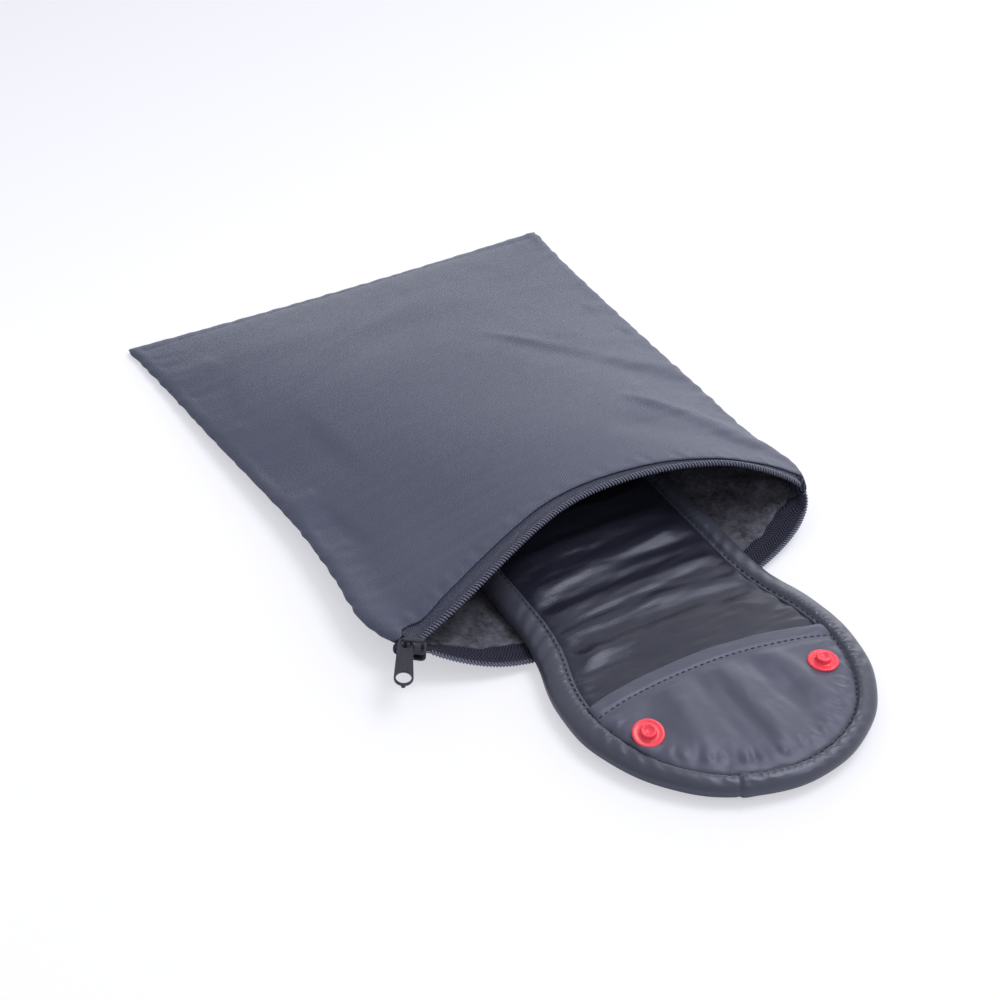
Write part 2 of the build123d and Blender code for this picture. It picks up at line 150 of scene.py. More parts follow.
# ---------------------------------------------------------------------------
# Smooth tables and lines
# ---------------------------------------------------------------------------
def smooth_table(points):
    """A smooth function through (x, value) points, level beyond both ends."""
    xs, values = np.array(points, float).T
    slopes = np.gradient(values, xs)

    def value(x):
        x = np.clip(x, xs[0], xs[-1])
        i = np.clip(np.searchsorted(xs, x, side="right") - 1, 0, len(xs) - 2)
        span = xs[i + 1] - xs[i]
        t = (x - xs[i]) / span
        return (
            (1 + 2 * t) * (1 - t) ** 2 * values[i]
            + t * (1 - t) ** 2 * span * slopes[i]
            + t * t * (3 - 2 * t) * values[i + 1]
            + t * t * (t - 1) * span * slopes[i + 1]
        )

    return value


def run_of(points):
    """Distance along a line of points, at each point."""
    return np.concatenate([[0], np.cumsum(np.linalg.norm(np.diff(points, axis=0), axis=1))])


def line_through(points, count=600):
    """Evenly spaced points on a smooth line through the given ones."""
    points = np.array(points, float)
    at = run_of(points)
    fine = np.linspace(0, at[-1], 6 * count)
    line = np.stack([smooth_table(list(zip(at, points[:, k])))(fine) for k in range(3)], axis=1)
    return resampled(line, count)


def resampled(line, count):
    run = run_of(line)
    return on_line(line, np.linspace(0, run[-1], count))


def on_line(line, distance, values=None):
    """Points, or other values that are given at a line's points, at distances along the line."""
    run = run_of(line)
    values = line if values is None else values
    return np.stack([np.interp(distance, run, values[:, k]) for k in range(values.shape[1])], axis=1)


def smooth_step(x, low, high):
    t = np.clip((x - low) / (high - low), 0, 1)
    return t * t * (3 - 2 * t)


def unit(v):
    return v / np.maximum(np.linalg.norm(v, axis=-1, keepdims=True), 1e-9)


# ---------------------------------------------------------------------------
# The pouch's surfaces, in millimetres
# ---------------------------------------------------------------------------
BACK_Y, SEAM_END = 104.0, -120.0
TAPE, LINING = 0.4, 0.7     # thicknesses
SEAM_BACK, SEAM_CLIMB = 1.6, 11.1     # height of the side seams at the back, and their rise to the mouth
SWELL_START, SWELL_RUN, SWELL_POWER, RISE = 98.0, 218.0, 0.6, 21.5

left_shift = smooth_table([
    (-124, 5.6), (-119, 2.2), (-113, -0.2), (-104, -2.8), (-97, -3.1), (-90, -2.3), (-74, 0.2), (-60, 1.6),
    (-40, 3.0), (-10, 2.6), (30, 1.6), (70, 1.2), (98, 0.3), (104, 0),
])
right_shift = smooth_table([
    (-124, -5.0), (-113, -2.4), (-108, 0.2), (-102, 1.4), (-95, 1.4), (-89, 0.2), (-83, -1.4), (-74, -2.2),
    (-40, -2.4), (0, -2.6), (45, -2.4), (80, -1.6), (98, -0.4), (104, 0),
])


def along(y):
    return (BACK_Y - y) / (BACK_Y - SEAM_END)


def seam_z(y):
    return SEAM_BACK + SEAM_CLIMB * along(y)


def ripple(y, phase):
    """Small uneven puckers along a seam."""
    return (
        np.sin(0.61 * y + phase) * np.sin(0.13 * y + 2.1 * phase)
        + 0.6 * np.sin(0.97 * y + 3.1 * phase) * np.sin(0.19 * y + phase)
    )


def left_edge(y):
    return -7 * along(y) - (200 - 10 * along(y)) / 2 + left_shift(y) + 0.28 * ripple(y, 0.4)


def right_edge(y):
    return -7 * along(y) + (200 - 10 * along(y)) / 2 + right_shift(y) + 0.30 * ripple(y, 1.9)


def back_edge(x):
    return BACK_Y - 2.0 * (1 - (x / 100) ** 2) + 0.25 * ripple(x, 2.7)


UPPER_COIL = line_through([
    (-96.5, -122.6, 12.7), (-91.5, -120.5, 13.4), (-84.1, -118.4, 15.2), (-77.8, -117.2, 17.5), (-69.5, -114.9, 20),
    (-61.1, -112.3, 22.5), (-52.6, -109.6, 25), (-42.3, -106.1, 27.5), (-31.9, -102.7, 29.5), (-20.1, -99.4, 31),
    (-7, -97.7, 32.2), (2, -97.6, 32.7), (11, -98.0, 33), (22.7, -99.2, 33), (32.7, -100.9, 32.6),
    (43.3, -103, 31.5), (50.6, -104.6, 30.2), (57.5, -106.3, 28.2), (64.4, -108.2, 25.4), (70.7, -109.7, 22.2),
    (76.3, -110.8, 18.8), (80.7, -112, 15.7), (84.0, -113, 12.9),
])
LOWER_COIL = line_through([
    (-96.0, -124.6, 12.2), (-92, -127, 11.6), (-88.6, -129.4, 10.3), (-83, -132.7, 8.3), (-77, -135.6, 6.5),
    (-69, -138.4, 4.7), (-57.9, -140.2, 3.0), (-46, -140.8, 1.9), (-34, -141, 1.4), (0, -141, 1.25),
    (22, -140.6, 1.35), (36, -139.2, 1.7), (49.2, -135.9, 2.6), (61.7, -131.6, 3.6), (69.5, -128.2, 4.7),
    (76.8, -124, 6.3), (81.4, -120.2, 8.2), (83.8, -116.9, 10.1), (84.4, -114, 12.2),
])
COIL_DEPTH = 1.2     # from the top sheet's outer face to the coil's middle
SLIDER_HEADING = math.radians(-32)


def swell(y):
    return np.maximum((SWELL_START - y) / SWELL_RUN, 0) ** SWELL_POWER


def across(x, y):
    """-1 at the left seam, 1 at the right one."""
    low, high = left_edge(y), right_edge(y)
    return np.clip(2 * (x - low) / (high - low) - 1, -1, 1)


def mouth_table():
    x, y, z = UPPER_COIL[30:-20:24].T
    share = (z + COIL_DEPTH - seam_z(y) - SEAM_BACK) / (RISE * swell(y))
    return smooth_table([(-1, 0), *zip(across(x, y), np.maximum(share, 0)), (1, 0)])


mouth_profile = mouth_table()


def rounding(distance, radius):
    """0 at an edge, 1 from radius on, as a quarter circle."""
    return np.sqrt(np.maximum(1 - (1 - np.clip(distance / radius, 0, 1)) ** 2, 0))


def ridge(x, y, start, end, width, height, widen=0.0):
    """A soft ridge from start to end in plan: sharp at its start, wider by widen at its end."""
    start, end = np.array(start, float), np.array(end, float)
    run = end - start
    size = np.linalg.norm(run)
    run = run / size
    t = ((x - start[0]) * run[0] + (y - start[1]) * run[1]) / size
    off = (x - start[0]) * -run[1] + (y - start[1]) * run[0]
    wide = width + widen * np.clip(t, 0, 1)
    ends = smooth_step(t, -0.15, 0.2) * (1 - smooth_step(t, 0.85, 1.15))
    return height * np.exp(-((off / wide) ** 2)) * ends


# start, end, width, height, widening of each soft fold of the top sheet
TOP_FOLDS = [
    ((27.7, 24.0), (64, -15.5), 2.6, 0.75, 5.0),
    ((60, -13.5), (93, -30), 6.0, 1.6, 3.0),
    ((35, 10), (88, -42), 9.0, -1.1, 4.0),
    ((48, -46), (84, -92), 4.0, 1.5, 4.0),
    ((30, -60), (70, -98), 8.0, -0.8, 3.0),
    ((62, -84), (86, -103), 5.0, -1.0, 0.0),
    ((-104, 60), (-80, 48), 9.0, -0.7, 8.0),
    ((-102, -8), (-66, -8), 13.0, -1.1, 8.0),
    ((-103, -52), (-84, -50), 9.0, -0.6, 5.0),
    ((-99, 70), (-76, 74), 3.5, 0.4, 3.0),
    ((-102, -30), (-85, -29), 3.0, 0.4, 2.0),
    ((-102, -66), (-88, -60), 3.0, 0.3, 2.0),
    ((-103, 22), (-88, 28), 3.5, 0.3, 2.0),
    ((100, 34), (80, 33), 2.6, 0.55, 2.0),
    ((100, 12), (84, 10), 2.4, 0.6, 2.0),
    ((97, -4), (80, -6), 2.4, -0.5, 2.0),
    ((95, -52), (82, -46), 2.4, 0.6, 2.0),
    ((95, -64), (80, -60), 2.4, -0.55, 2.0),
    ((-70, 70), (40, 60), 9.0, 0.5, 2.0),
    ((-40, 50), (30, 72), 3.0, 0.22, 2.0),
    ((-60, 30), (10, 52), 4.0, -0.20, 2.0),
]


def top_folds(x, y):
    """Soft folds, seam puckers and the sag of the top sheet."""
    z = sum(ridge(x, y, *fold) for fold in TOP_FOLDS)
    z = z + 0.35 * np.sin(0.045 * x + 0.03 * y) * np.sin(0.05 * y - 0.02 * x + 1)
    for edge, phase in ((x - left_edge(y), 0.4), (right_edge(y) - x, 1.9)):
        z = z + 0.20 * ripple(y + 0.35 * edge, phase) * np.exp(-edge / 7) * smooth_step(edge, 0, 3)
    z = z + 0.22 * ripple(x, 2.7) * np.exp(-np.maximum(back_edge(x) - y, 0) / 6)
    behind = fold_behind(x, y)
    z = z + 0.20 * ripple(1.3 * x, 5.2) * np.exp(-((behind - 3.5) / 3.0) ** 2)
    return z


fold_line_y = smooth_table([
    (-107, -105), (-104.4, -108), (-102.4, -112.5), (-100.2, -117), (-98.4, -117), (-96.4, -114.2), (-94, -113.5),
    (-89.3, -113.9), (-84.2, -112.8),
    (-78.1, -110.4), (-69.7, -107.6), (-62.6, -105.2), (-55.4, -102.9), (-46.9, -100.3), (-37, -97.3), (-27, -94.6),
    (-16, -92.9), (-4, -92.5), (6, -92.9), (14, -93.6), (22.6, -94.6), (31, -96.2), (40, -98.6), (48, -100.9),
    (55, -102.7), (63, -104.6), (69, -105.9), (75.7, -107.0), (81, -107.9), (86, -109), (91, -110.5),
])


def fold_behind(x, y):
    """How far a point lies behind the top sheet's folded front edge."""
    return y - fold_line_y(x)


def top_z(x, y):
    """Outer face of the top sheet."""
    u = across(x, y)
    side = np.minimum(x - left_edge(y), right_edge(y) - x)
    back = back_edge(x) - y
    mouth = smooth_step(-y, -50, 95)
    arch = (1 - mouth) * (1 - np.abs(u) ** 2.6) + mouth * mouth_profile(u)
    edge = rounding(side, 4.0) * rounding(back, 5.0)
    calm = smooth_step(side, 0, 6) * smooth_step(back, 0, 5)
    looks = bpy.context.scene.pouch_looks
    return seam_z(y) + SEAM_BACK * edge + RISE * swell(y) * arch + looks.fold * top_folds(x, y) * calm


lower_fold_y = smooth_table([
    (-107, -106), (-103, -112), (-99, -117.5), (-94, -121), (-86, -125.2), (-77, -129.5), (-69, -132.2),
    (-58, -134), (-40, -134.8), (0, -135), (30, -134.2), (46, -130.9), (58, -126.8), (68, -122.2), (75, -118),
    (80, -115.8), (84, -113.0), (88, -110.5), (91, -109),
])


def dish_z(x, y):
    """Underside of the bottom sheet: flat on the table, turned up towards the seams."""
    side = np.minimum(x - left_edge(y), right_edge(y) - x)
    reach = np.clip(1 - side / 40, 0, 1)
    round_up = 1.4 * (1 - rounding(side, 2.0) * rounding(back_edge(x) - y, 1.6))
    return np.maximum(seam_z(y) - SEAM_BACK, 0) * reach ** 2.2 + round_up


def lip_lift():
    """How far the lower coil lies above the plain bottom sheet, by X."""
    x, y, z = LOWER_COIL[5:-3:16].T
    return smooth_table(list(zip(x, z - 0.9 - dish_z(x, y))))


lower_lip_y = smooth_table(list(zip(*LOWER_COIL[5:-14:12].T[:2])))
lip_extra = lip_lift()


def bottom_z(x, y):
    near = np.exp(-np.maximum(y - lower_lip_y(x), 0) / 22)
    side = np.minimum(x - left_edge(y), right_edge(y) - x)
    return np.maximum(dish_z(x, y) + lip_extra(x) * near * smooth_step(side, 0, 5), 0)


# ---------------------------------------------------------------------------
# Making pieces
# ---------------------------------------------------------------------------
def placed_grid(columns, rows, place, uv=None):
    """A grid whose corners (a, b), both from 0 to 1, are put at place(a, b), with its UV map in metres."""
    bm = bmesh.new()
    layer = bm.loops.layers.uv.new("UVMap")
    bmesh.ops.create_grid(bm, x_segments=columns, y_segments=rows, size=0.5)
    a = np.clip(np.array([v.co.x for v in bm.verts]) + 0.5, 0, 1)
    b = np.clip(np.array([v.co.y for v in bm.verts]) + 0.5, 0, 1)
    if uv is not None:
        across_uv, along_uv = uv(a, b)
        for face in bm.faces:
            for loop in face.loops:
                i = loop.vert.index
                loop[layer].uv = (across_uv[i] * MM, along_uv[i] * MM)
    for v, point in zip(bm.verts, place(a, b)):
        v.co = point
    return bm


def finished(bm, name, body, material, flip=False, close=0.0):
    """Turns a bmesh in millimetres into a piece that rides on a body."""
    if close:
        bmesh.ops.remove_doubles(bm, verts=bm.verts, dist=close)
    if flip:
        bmesh.ops.reverse_faces(bm, faces=bm.faces)
    bmesh.ops.scale(bm, vec=(MM, MM, MM), verts=bm.verts)
    mesh = bpy.data.meshes.new(name)
    bm.to_mesh(mesh)
    bm.free()
    mesh.polygons.foreach_set("use_smooth", [True] * len(mesh.polygons))
    return piece_of(mesh, name, body, material)


def piece_of(mesh, name, body, material):
    piece = bpy.data.objects.new(name, mesh)
    bpy.context.scene.collection.objects.link(piece)
    mesh.materials.clear()
    mesh.materials.append(material)
    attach(piece, body)
    return piece


def thickened(piece, thickness, offset=-1.0):
    """Gives a sheet its thickness, in millimetres, on the inner side of its faces."""
    wall = piece.modifiers.new("Thickness", "SOLIDIFY")
    wall.thickness = thickness * MM
    wall.offset = offset
    wall.use_even_offset = False
    return piece


def corners_of(mesh):
    co = np.zeros(len(mesh.vertices) * 3)
    mesh.vertices.foreach_get("co", co)
    return co.reshape(-1, 3)


def with_modifier(piece, kind, **settings):
    """Makes one modifier part of a piece's mesh."""
    modifier = piece.modifiers.new(kind.title(), kind)
    for name, value in settings.items():
        setattr(modifier, name, value)
    name, old = piece.data.name, piece.data
    graph = bpy.context.evaluated_depsgraph_get()
    piece_mesh = bpy.data.meshes.new_from_object(piece.evaluated_get(graph))
    piece.modifiers.remove(modifier)
    piece.data = piece_mesh
    bpy.data.meshes.remove(old)
    piece_mesh.name = name
    return piece_mesh


def outward(bm):
    bmesh.ops.recalc_face_normals(bm, faces=bm.faces)


def tube(name, lines, radius, body, material, detail=2):
    """A round wire through each line of points in millimetres, as one mesh."""
    curve = bpy.data.curves.new(name, "CURVE")
    curve.dimensions = "3D"
    curve.bevel_depth = radius * MM
    curve.bevel_resolution = 1
    curve.use_fill_caps = True
    for line in lines:
        spline = curve.splines.new("NURBS")
        spline.points.add(len(line) - 1)
        spline.points.foreach_set("co", np.column_stack([line * MM, np.ones(len(line))]).ravel())
        spline.use_endpoint_u = True
        spline.order_u = 3
        spline.resolution_u = detail
    holder = bpy.data.objects.new(name + "_curve", curve)
    mesh = bpy.data.meshes.new_from_object(holder)
    bpy.data.objects.remove(holder)
    bpy.data.curves.remove(curve)
    mesh.name = name
    mesh.polygons.foreach_set("use_smooth", [True] * len(mesh.polygons))
    return piece_of(mesh, name, body, material)


# ---------------------------------------------------------------------------
# Materials
# ---------------------------------------------------------------------------
class Finish:
    """A node material, with short calls for the nodes it is made of."""

    def __init__(self, name, base, roughness, **sockets):
        self.material = bpy.data.materials.get(name) or bpy.data.materials.new(name)
        self.material.use_nodes = True
        self.nodes, self.links = self.material.node_tree.nodes, self.material.node_tree.links
        self.nodes.clear()
        output = self.nodes.new("ShaderNodeOutputMaterial")
        self.shader = self.nodes.new("ShaderNodeBsdfPrincipled")
        self.links.new(self.shader.outputs[0], output.inputs["Surface"])
        self.shader.inputs["Base Color"].default_value = (*base, 1)
        self.shader.inputs["Roughness"].default_value = roughness
        for socket, value in sockets.items():
            self.shader.inputs[socket.replace("_", " ").title().replace("Ior", "IOR")].default_value = value
        self.base = base
        coordinates = self.nodes.new("ShaderNodeTexCoord")
        self.object, self.uv = coordinates.outputs["Object"], coordinates.outputs["UV"]

    def mapped(self, source, scale=(1, 1, 1), turn=(0, 0, 0)):
        node = self.nodes.new("ShaderNodeMapping")
        node.inputs["Scale"].default_value = scale
        node.inputs["Rotation"].default_value = turn
        self.links.new(source, node.inputs["Vector"])
        return node.outputs[0]

    def noise(self, source, scale, detail=3.0, roughness=0.5):
        node = self.nodes.new("ShaderNodeTexNoise")
        node.inputs["Scale"].default_value = scale
        node.inputs["Detail"].default_value = detail
        node.inputs["Roughness"].default_value = roughness
        self.links.new(source, node.inputs["Vector"])
        return node.outputs["Fac"]

    def wave(self, source, scale, distortion=0.0, detail=2.0, direction="X"):
        node = self.nodes.new("ShaderNodeTexWave")
        node.bands_direction = direction
        node.inputs["Scale"].default_value = scale
        node.inputs["Distortion"].default_value = distortion
        node.inputs["Detail"].default_value = detail
        self.links.new(source, node.inputs["Vector"])
        return node.outputs["Fac"]

    def math(self, kind, a, b):
        node = self.nodes.new("ShaderNodeMath")
        node.operation = kind
        for socket, value in zip(node.inputs, (a, b)):
            if isinstance(value, (int, float)):
                socket.default_value = value
            else:
                self.links.new(value, socket)
        return node.outputs[0]

    def spread(self, source, low, high, start=0.0, end=1.0):
        """source from start to end becomes low to high."""
        node = self.nodes.new("ShaderNodeMapRange")
        for name, value in (("From Min", start), ("From Max", end), ("To Min", low), ("To Max", high)):
            node.inputs[name].default_value = value
        self.links.new(source, node.inputs["Value"])
        return node.outputs[0]

    def tint(self, source, low, high):
        """Base colour from low to high times the plain one, following source."""
        node = self.nodes.new("ShaderNodeMix")
        node.data_type = "RGBA"
        for name, share in (("A_Color", low), ("B_Color", high)):
            socket = next(s for s in node.inputs if s.identifier == name)
            socket.default_value = (*[min(c * share, 1) for c in self.base], 1)
        self.links.new(source, node.inputs[0])
        self.links.new(next(s for s in node.outputs if s.identifier == "Result_Color"),
                       self.shader.inputs["Base Color"])

    def rough(self, source, low, high):
        self.links.new(self.spread(source, low, high), self.shader.inputs["Roughness"])

    def bump(self, *layers):
        """Layers of (height, strength, distance in millimetres), the first one lowest."""
        normal = None
        for height, strength, distance in layers:
            node = self.nodes.new("ShaderNodeBump")
            node.inputs["Strength"].default_value = strength
            node.inputs["Distance"].default_value = distance * MM
            self.links.new(height, node.inputs["Height"])
            if normal is not None:
                self.links.new(normal, node.inputs["Normal"])
            normal = node.outputs["Normal"]
        self.links.new(normal, self.shader.inputs["Normal"])
        return self


# Painted reflection: a blue tint on the reflections of the cloths, the coil and the paint, standing in for bluish
# surroundings
PAINTED_REFLECTION_TINT = (0.76, 0.80, 1.0, 1)


def per_pitch(pitch):
    """Scale of a wave texture whose bands are pitch metres apart."""
    return math.pi / (10 * pitch)


def outer_fabric():
    looks = bpy.context.scene.pouch_looks
    f = Finish("coated twill", tuple(looks.fabric), 0.42, specular_ior_level=0.22, specular_tint=PAINTED_REFLECTION_TINT)
    turned = f.mapped(f.object, turn=(0, 0, math.radians(52)))
    twill = f.wave(turned, per_pitch(looks.twill), distortion=0.6, detail=1.0)
    cloud = f.noise(f.object, 22, 4, 0.6)
    speck = f.noise(f.object, 1500, 2, 0.6)
    shade = f.math("ADD", f.math("MULTIPLY", cloud, 0.5), f.math("MULTIPLY", speck, 0.3))
    f.tint(f.math("ADD", shade, f.math("MULTIPLY", twill, 0.2)), 0.82, 1.18)
    f.rough(f.noise(f.object, 90, 3, 0.6), 0.36, 0.48)
    f.bump((f.noise(f.object, 160, 3, 0.55), 0.12, 0.25), (twill, 0.6, 0.16), (speck, 0.3, 0.08))
    return f.material


def lining_fabric():
    looks = bpy.context.scene.pouch_looks
    f = Finish("brushed lining", tuple(looks.lining), 0.92, specular_ior_level=0.2, sheen_weight=0.15,
               sheen_roughness=0.5, sheen_tint=(0.5, 0.5, 0.56, 1))
    nap = f.noise(f.object, 900, 4, 0.7)
    knit = f.wave(f.object, per_pitch(0.0011), 2.5, 2.0, "Y")
    mottle = f.math("MULTIPLY", f.noise(f.object, 150, 6, 0.85), 3.5)
    f.tint(f.math("ADD", mottle, -1.3), 0.3, 1.8)
    f.bump((f.noise(f.object, 300, 4, 0.6), 0.5, 0.5), (knit, 0.25, 0.15), (nap, 0.6, 0.2))
    return f.material


def tape_fabric(name, base, shine=0.4, high=2.3, pitch=0.00075):
    """Herringbone weave: ribs that lean one way and then the other across the tape."""
    f = Finish(name, base, 0.66, specular_ior_level=shine, specular_tint=PAINTED_REFLECTION_TINT, sheen_weight=0.3 * shine,
               sheen_roughness=0.4)
    split = f.nodes.new("ShaderNodeSeparateXYZ")
    f.links.new(f.uv, split.inputs[0])
    band = f.math("PINGPONG", split.outputs[1], 2.1 * pitch)
    lean = f.math("ADD", split.outputs[0], f.math("MULTIPLY", band, 0.9))
    join = f.nodes.new("ShaderNodeCombineXYZ")
    f.links.new(lean, join.inputs[0])
    ribs = f.wave(join.outputs[0], per_pitch(pitch), 0.0, 0.0)
    f.tint(f.math("MULTIPLY", ribs, f.noise(f.object, 1300, 3, 0.7)), 0.35, high)
    f.bump((ribs, 1.0, 0.28), (f.noise(f.object, 2200, 2, 0.5), 0.2, 0.05))
    return f.material


def coil_nylon():
    looks = bpy.context.scene.zip_looks
    f = Finish("nylon coil", tuple(looks.coil), 0.30, specular_ior_level=0.6, specular_tint=PAINTED_REFLECTION_TINT)
    f.rough(f.noise(f.object, 700, 2, 0.5), 0.22, 0.38)
    f.bump((f.noise(f.object, 3000, 2, 0.5), 0.05, 0.02))
    return f.material


def painted_metal():
    looks = bpy.context.scene.zip_looks
    f = Finish("black paint", tuple(looks.metal), 0.4, specular_ior_level=0.35, specular_tint=PAINTED_REFLECTION_TINT,
               coat_weight=0.12, coat_roughness=0.15)
    f.tint(f.noise(f.object, 260, 4, 0.6), 0.85, 1.2)
    f.rough(f.noise(f.object, 420, 3, 0.6), 0.34, 0.48)
    f.bump((f.noise(f.object, 1400, 3, 0.6), 0.10, 0.04))
    return f.material


def spring_metal():
    f = Finish("spring steel", (0.55, 0.55, 0.57), 0.35, metallic=1.0)
    f.rough(f.wave(f.object, per_pitch(0.0002), 2.0, 2.0), 0.28, 0.45)
    return f.material


def panel_fabric(name, base, ribs, rough):
    f = Finish(name, base, rough, specular_ior_level=0.5, specular_tint=PAINTED_REFLECTION_TINT)
    turned = f.mapped(f.object, scale=(1, 0.35, 1), turn=(0, 0, math.radians(-38)))
    grain = f.wave(turned, per_pitch(0.0008), 1.6, 2.0)
    f.tint(f.noise(f.object, 40, 4, 0.6), 0.85, 1.15)
    f.rough(f.noise(f.object, 120, 3, 0.6), rough - 0.06, rough + 0.06)
    f.bump((f.noise(f.mapped(f.object, scale=(0.45, 1.5, 1)), 110, 4, 0.6), 0.3, 0.7), (grain, ribs, 0.09))
    return f.material


def binding_fabric():
    looks = bpy.context.scene.panel_looks
    f = Finish("bias binding", tuple(looks.binding), 0.34, specular_ior_level=0.65, specular_tint=PAINTED_REFLECTION_TINT)
    ribs = f.wave(f.mapped(f.uv, turn=(0, 0, math.radians(45))), per_pitch(0.00055), 0.8, 1.0)
    f.tint(f.noise(f.object, 60, 4, 0.6), 0.86, 1.16)
    f.rough(f.noise(f.object, 150, 3, 0.6), 0.27, 0.40)
    f.bump((f.noise(f.object, 220, 3, 0.5), 0.15, 0.3), (ribs, 0.2, 0.06))
    return f.material


def sewing_thread(name, colour_of, shine=0.5):
    f = Finish(name, colour_of, shine, specular_ior_level=0.5)
    twist = f.wave(f.mapped(f.object, turn=(0, 0, math.radians(35))), per_pitch(0.0003), 1.0, 1.0)
    f.tint(twist, 0.7, 1.4)
    f.bump((twist, 0.4, 0.05))
    return f.material


def red_plastic():
    looks = bpy.context.scene.snap_looks
    f = Finish("red plastic", tuple(looks.plastic), 0.28, specular_ior_level=0.5, subsurface_weight=0.12,
               subsurface_radius=(0.004, 0.001, 0.001), subsurface_scale=0.4)
    f.tint(f.noise(f.object, 300, 3, 0.5), 0.93, 1.04)
    f.rough(f.noise(f.object, 500, 3, 0.5), 0.22, 0.34)
    f.bump((f.noise(f.object, 900, 2, 0.5), 0.06, 0.04))
    return f.material


# ---------------------------------------------------------------------------
# Pouch
# ---------------------------------------------------------------------------
# start, end, width, height of the folds of the lining behind the right end of the mouth
LINING_FOLDS = [
    ((84, -104), (66, -86), 3.0, 1.6), ((86, -92), (74, -70), 3.0, 1.3), ((76, -112), (60, -100), 2.2, 0.9),
    ((66, -96), (58, -70), 3.0, 0.6),
]


def eased(a):
    """Cosine spacing, close together at both ends."""
    return (1 - np.cos(math.pi * a)) / 2


def sheet_plan(a, b, front_y, inset=0.0, back=0.0, front=0.0):
    """Plan of a sheet between the seams: a runs from left to right and b from the back to front_y."""
    x = -100 + 200 * a
    for _ in range(4):
        low, high = back_edge(x) - back, front_y(x) + front
        y = low + (high - low) * b
        x = left_edge(y) + inset + (right_edge(y) - left_edge(y) - 2 * inset) * a
    return x, y


class POUCH_OT_outer_sheets(bpy.types.Operator):
    """Make the top and bottom sheets of the pouch"""

    bl_idname = "pouch.outer_sheets"
    bl_label = "Outer sheets"

    def execute(self, context):
        thick = context.scene.pouch_looks.sheet / MM
        fabric = outer_fabric()

        def top(a, b):
            x, y = sheet_plan(eased(a), 0.25 * b + 0.75 * eased(b), fold_line_y)
            behind = fold_behind(x, y)
            z = top_z(x, y)
            return np.stack([x, y, z - 0.35 * np.exp(-behind / 0.5)], axis=1)

        bm = placed_grid(168, 176, top, lambda a, b: (200 * a, 215 * b))
        piece = finished(bm, "top_sheet", "pouch", fabric, flip=True)
        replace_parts(thickened(piece, thick), "top_panel")
        squashed(piece)

        def bottom(a, b):
            x, y = sheet_plan(eased(a), eased(b), lower_fold_y)
            return np.stack([x, y, bottom_z(x, y)], axis=1)

        bm = placed_grid(120, 110, bottom, lambda a, b: (200 * a, 235 * b))
        piece = finished(bm, "bottom_sheet", "pouch", fabric)
        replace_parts(thickened(piece, thick), "bottom_panel")
        return {"FINISHED"}


def squashed(piece):
    """Gives a piece of the pouch's upper half a mesh of its own."""
    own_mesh(piece)


def lip_frame(line, surface):
    """Tangent, width direction (into the pouch) and upward normal of a lip's line."""
    t = unit(np.gradient(line, axis=0))
    flat = unit(np.stack([-t[:, 1], t[:, 0], np.zeros(len(t))], axis=1))
    step = line[:, :2] + 3 * flat[:, :2]
    lift = surface(step[:, 0], step[:, 1]) - surface(line[:, 0], line[:, 1])
    w = flat * 3
    w[:, 2] = lift
    w = unit(w - (w * t).sum(1, keepdims=True) * t)
    return t, w, np.cross(t, w)


class POUCH_OT_linings(bpy.types.Operator):
    """Make the brushed linings and the folded seam allowances"""

    bl_idname = "pouch.linings"
    bl_label = "Linings and seam allowances"

    def execute(self, context):
        lining = lining_fabric()

        def top(a, b):
            x, y = sheet_plan(eased(a), b, fold_line_y, 2.2, 16, 5.0)
            return np.stack([x, y, top_z(x, y) - 1.9 + 0.12 * ripple(x + y, 0.8)], axis=1)

        bm = placed_grid(90, 90, top)
        piece = finished(bm, "upper_lining", "pouch", lining, flip=True)
        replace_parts(thickened(piece, LINING), "top_lining")
        squashed(piece)

        def bottom(a, b):
            x, y = sheet_plan(eased(a), b, lower_fold_y, 2.2, 16, 5.0)
            y = y + 0.9 * np.sin(0.55 * x) * np.sin(0.17 * x + 1) * smooth_step(b, 0.9, 1)
            z = bottom_z(x, y) + 1.0
            wall = smooth_step(right_edge(y) - x, 1, 6)
            z = z + wall * sum(ridge(x, y, *fold) for fold in LINING_FOLDS)
            return np.stack([x, y, z], axis=1)

        bm = placed_grid(90, 90, bottom)
        piece = finished(bm, "lower_lining", "pouch", lining, flip=True)
        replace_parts(thickened(piece, LINING, 1.0), "bottom_lining")

        fabric = outer_fabric()
        for name, edge, side in (("left", left_edge, 1), ("right", right_edge, -1)):
            def strip(a, b, edge=edge, side=side):
                y = 90 - 190 * a
                x = edge(y) + side * (1.6 + 9 * b)
                return np.stack([x, y, seam_z(y) + 0.5 * np.sin(3 * b) * 0.2], axis=1)

            bm = placed_grid(120, 5, strip)
            piece = finished(bm, f"{name}_allowance", "pouch", fabric)
            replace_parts(thickened(piece, 0.6, 0), f"{name}_seam_allowance")

        def back(a, b):
            x = -88 + 176 * a
            return np.stack([x, back_edge(x) - 1.4 - 9 * b, np.full_like(x, 1.7)], axis=1)

        bm = placed_grid(90, 4, back)
        piece = finished(bm, "back_allowance", "pouch", fabric)
        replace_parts(thickened(piece, 0.5, 0), "back_seam_allowance")
        return {"FINISHED"}


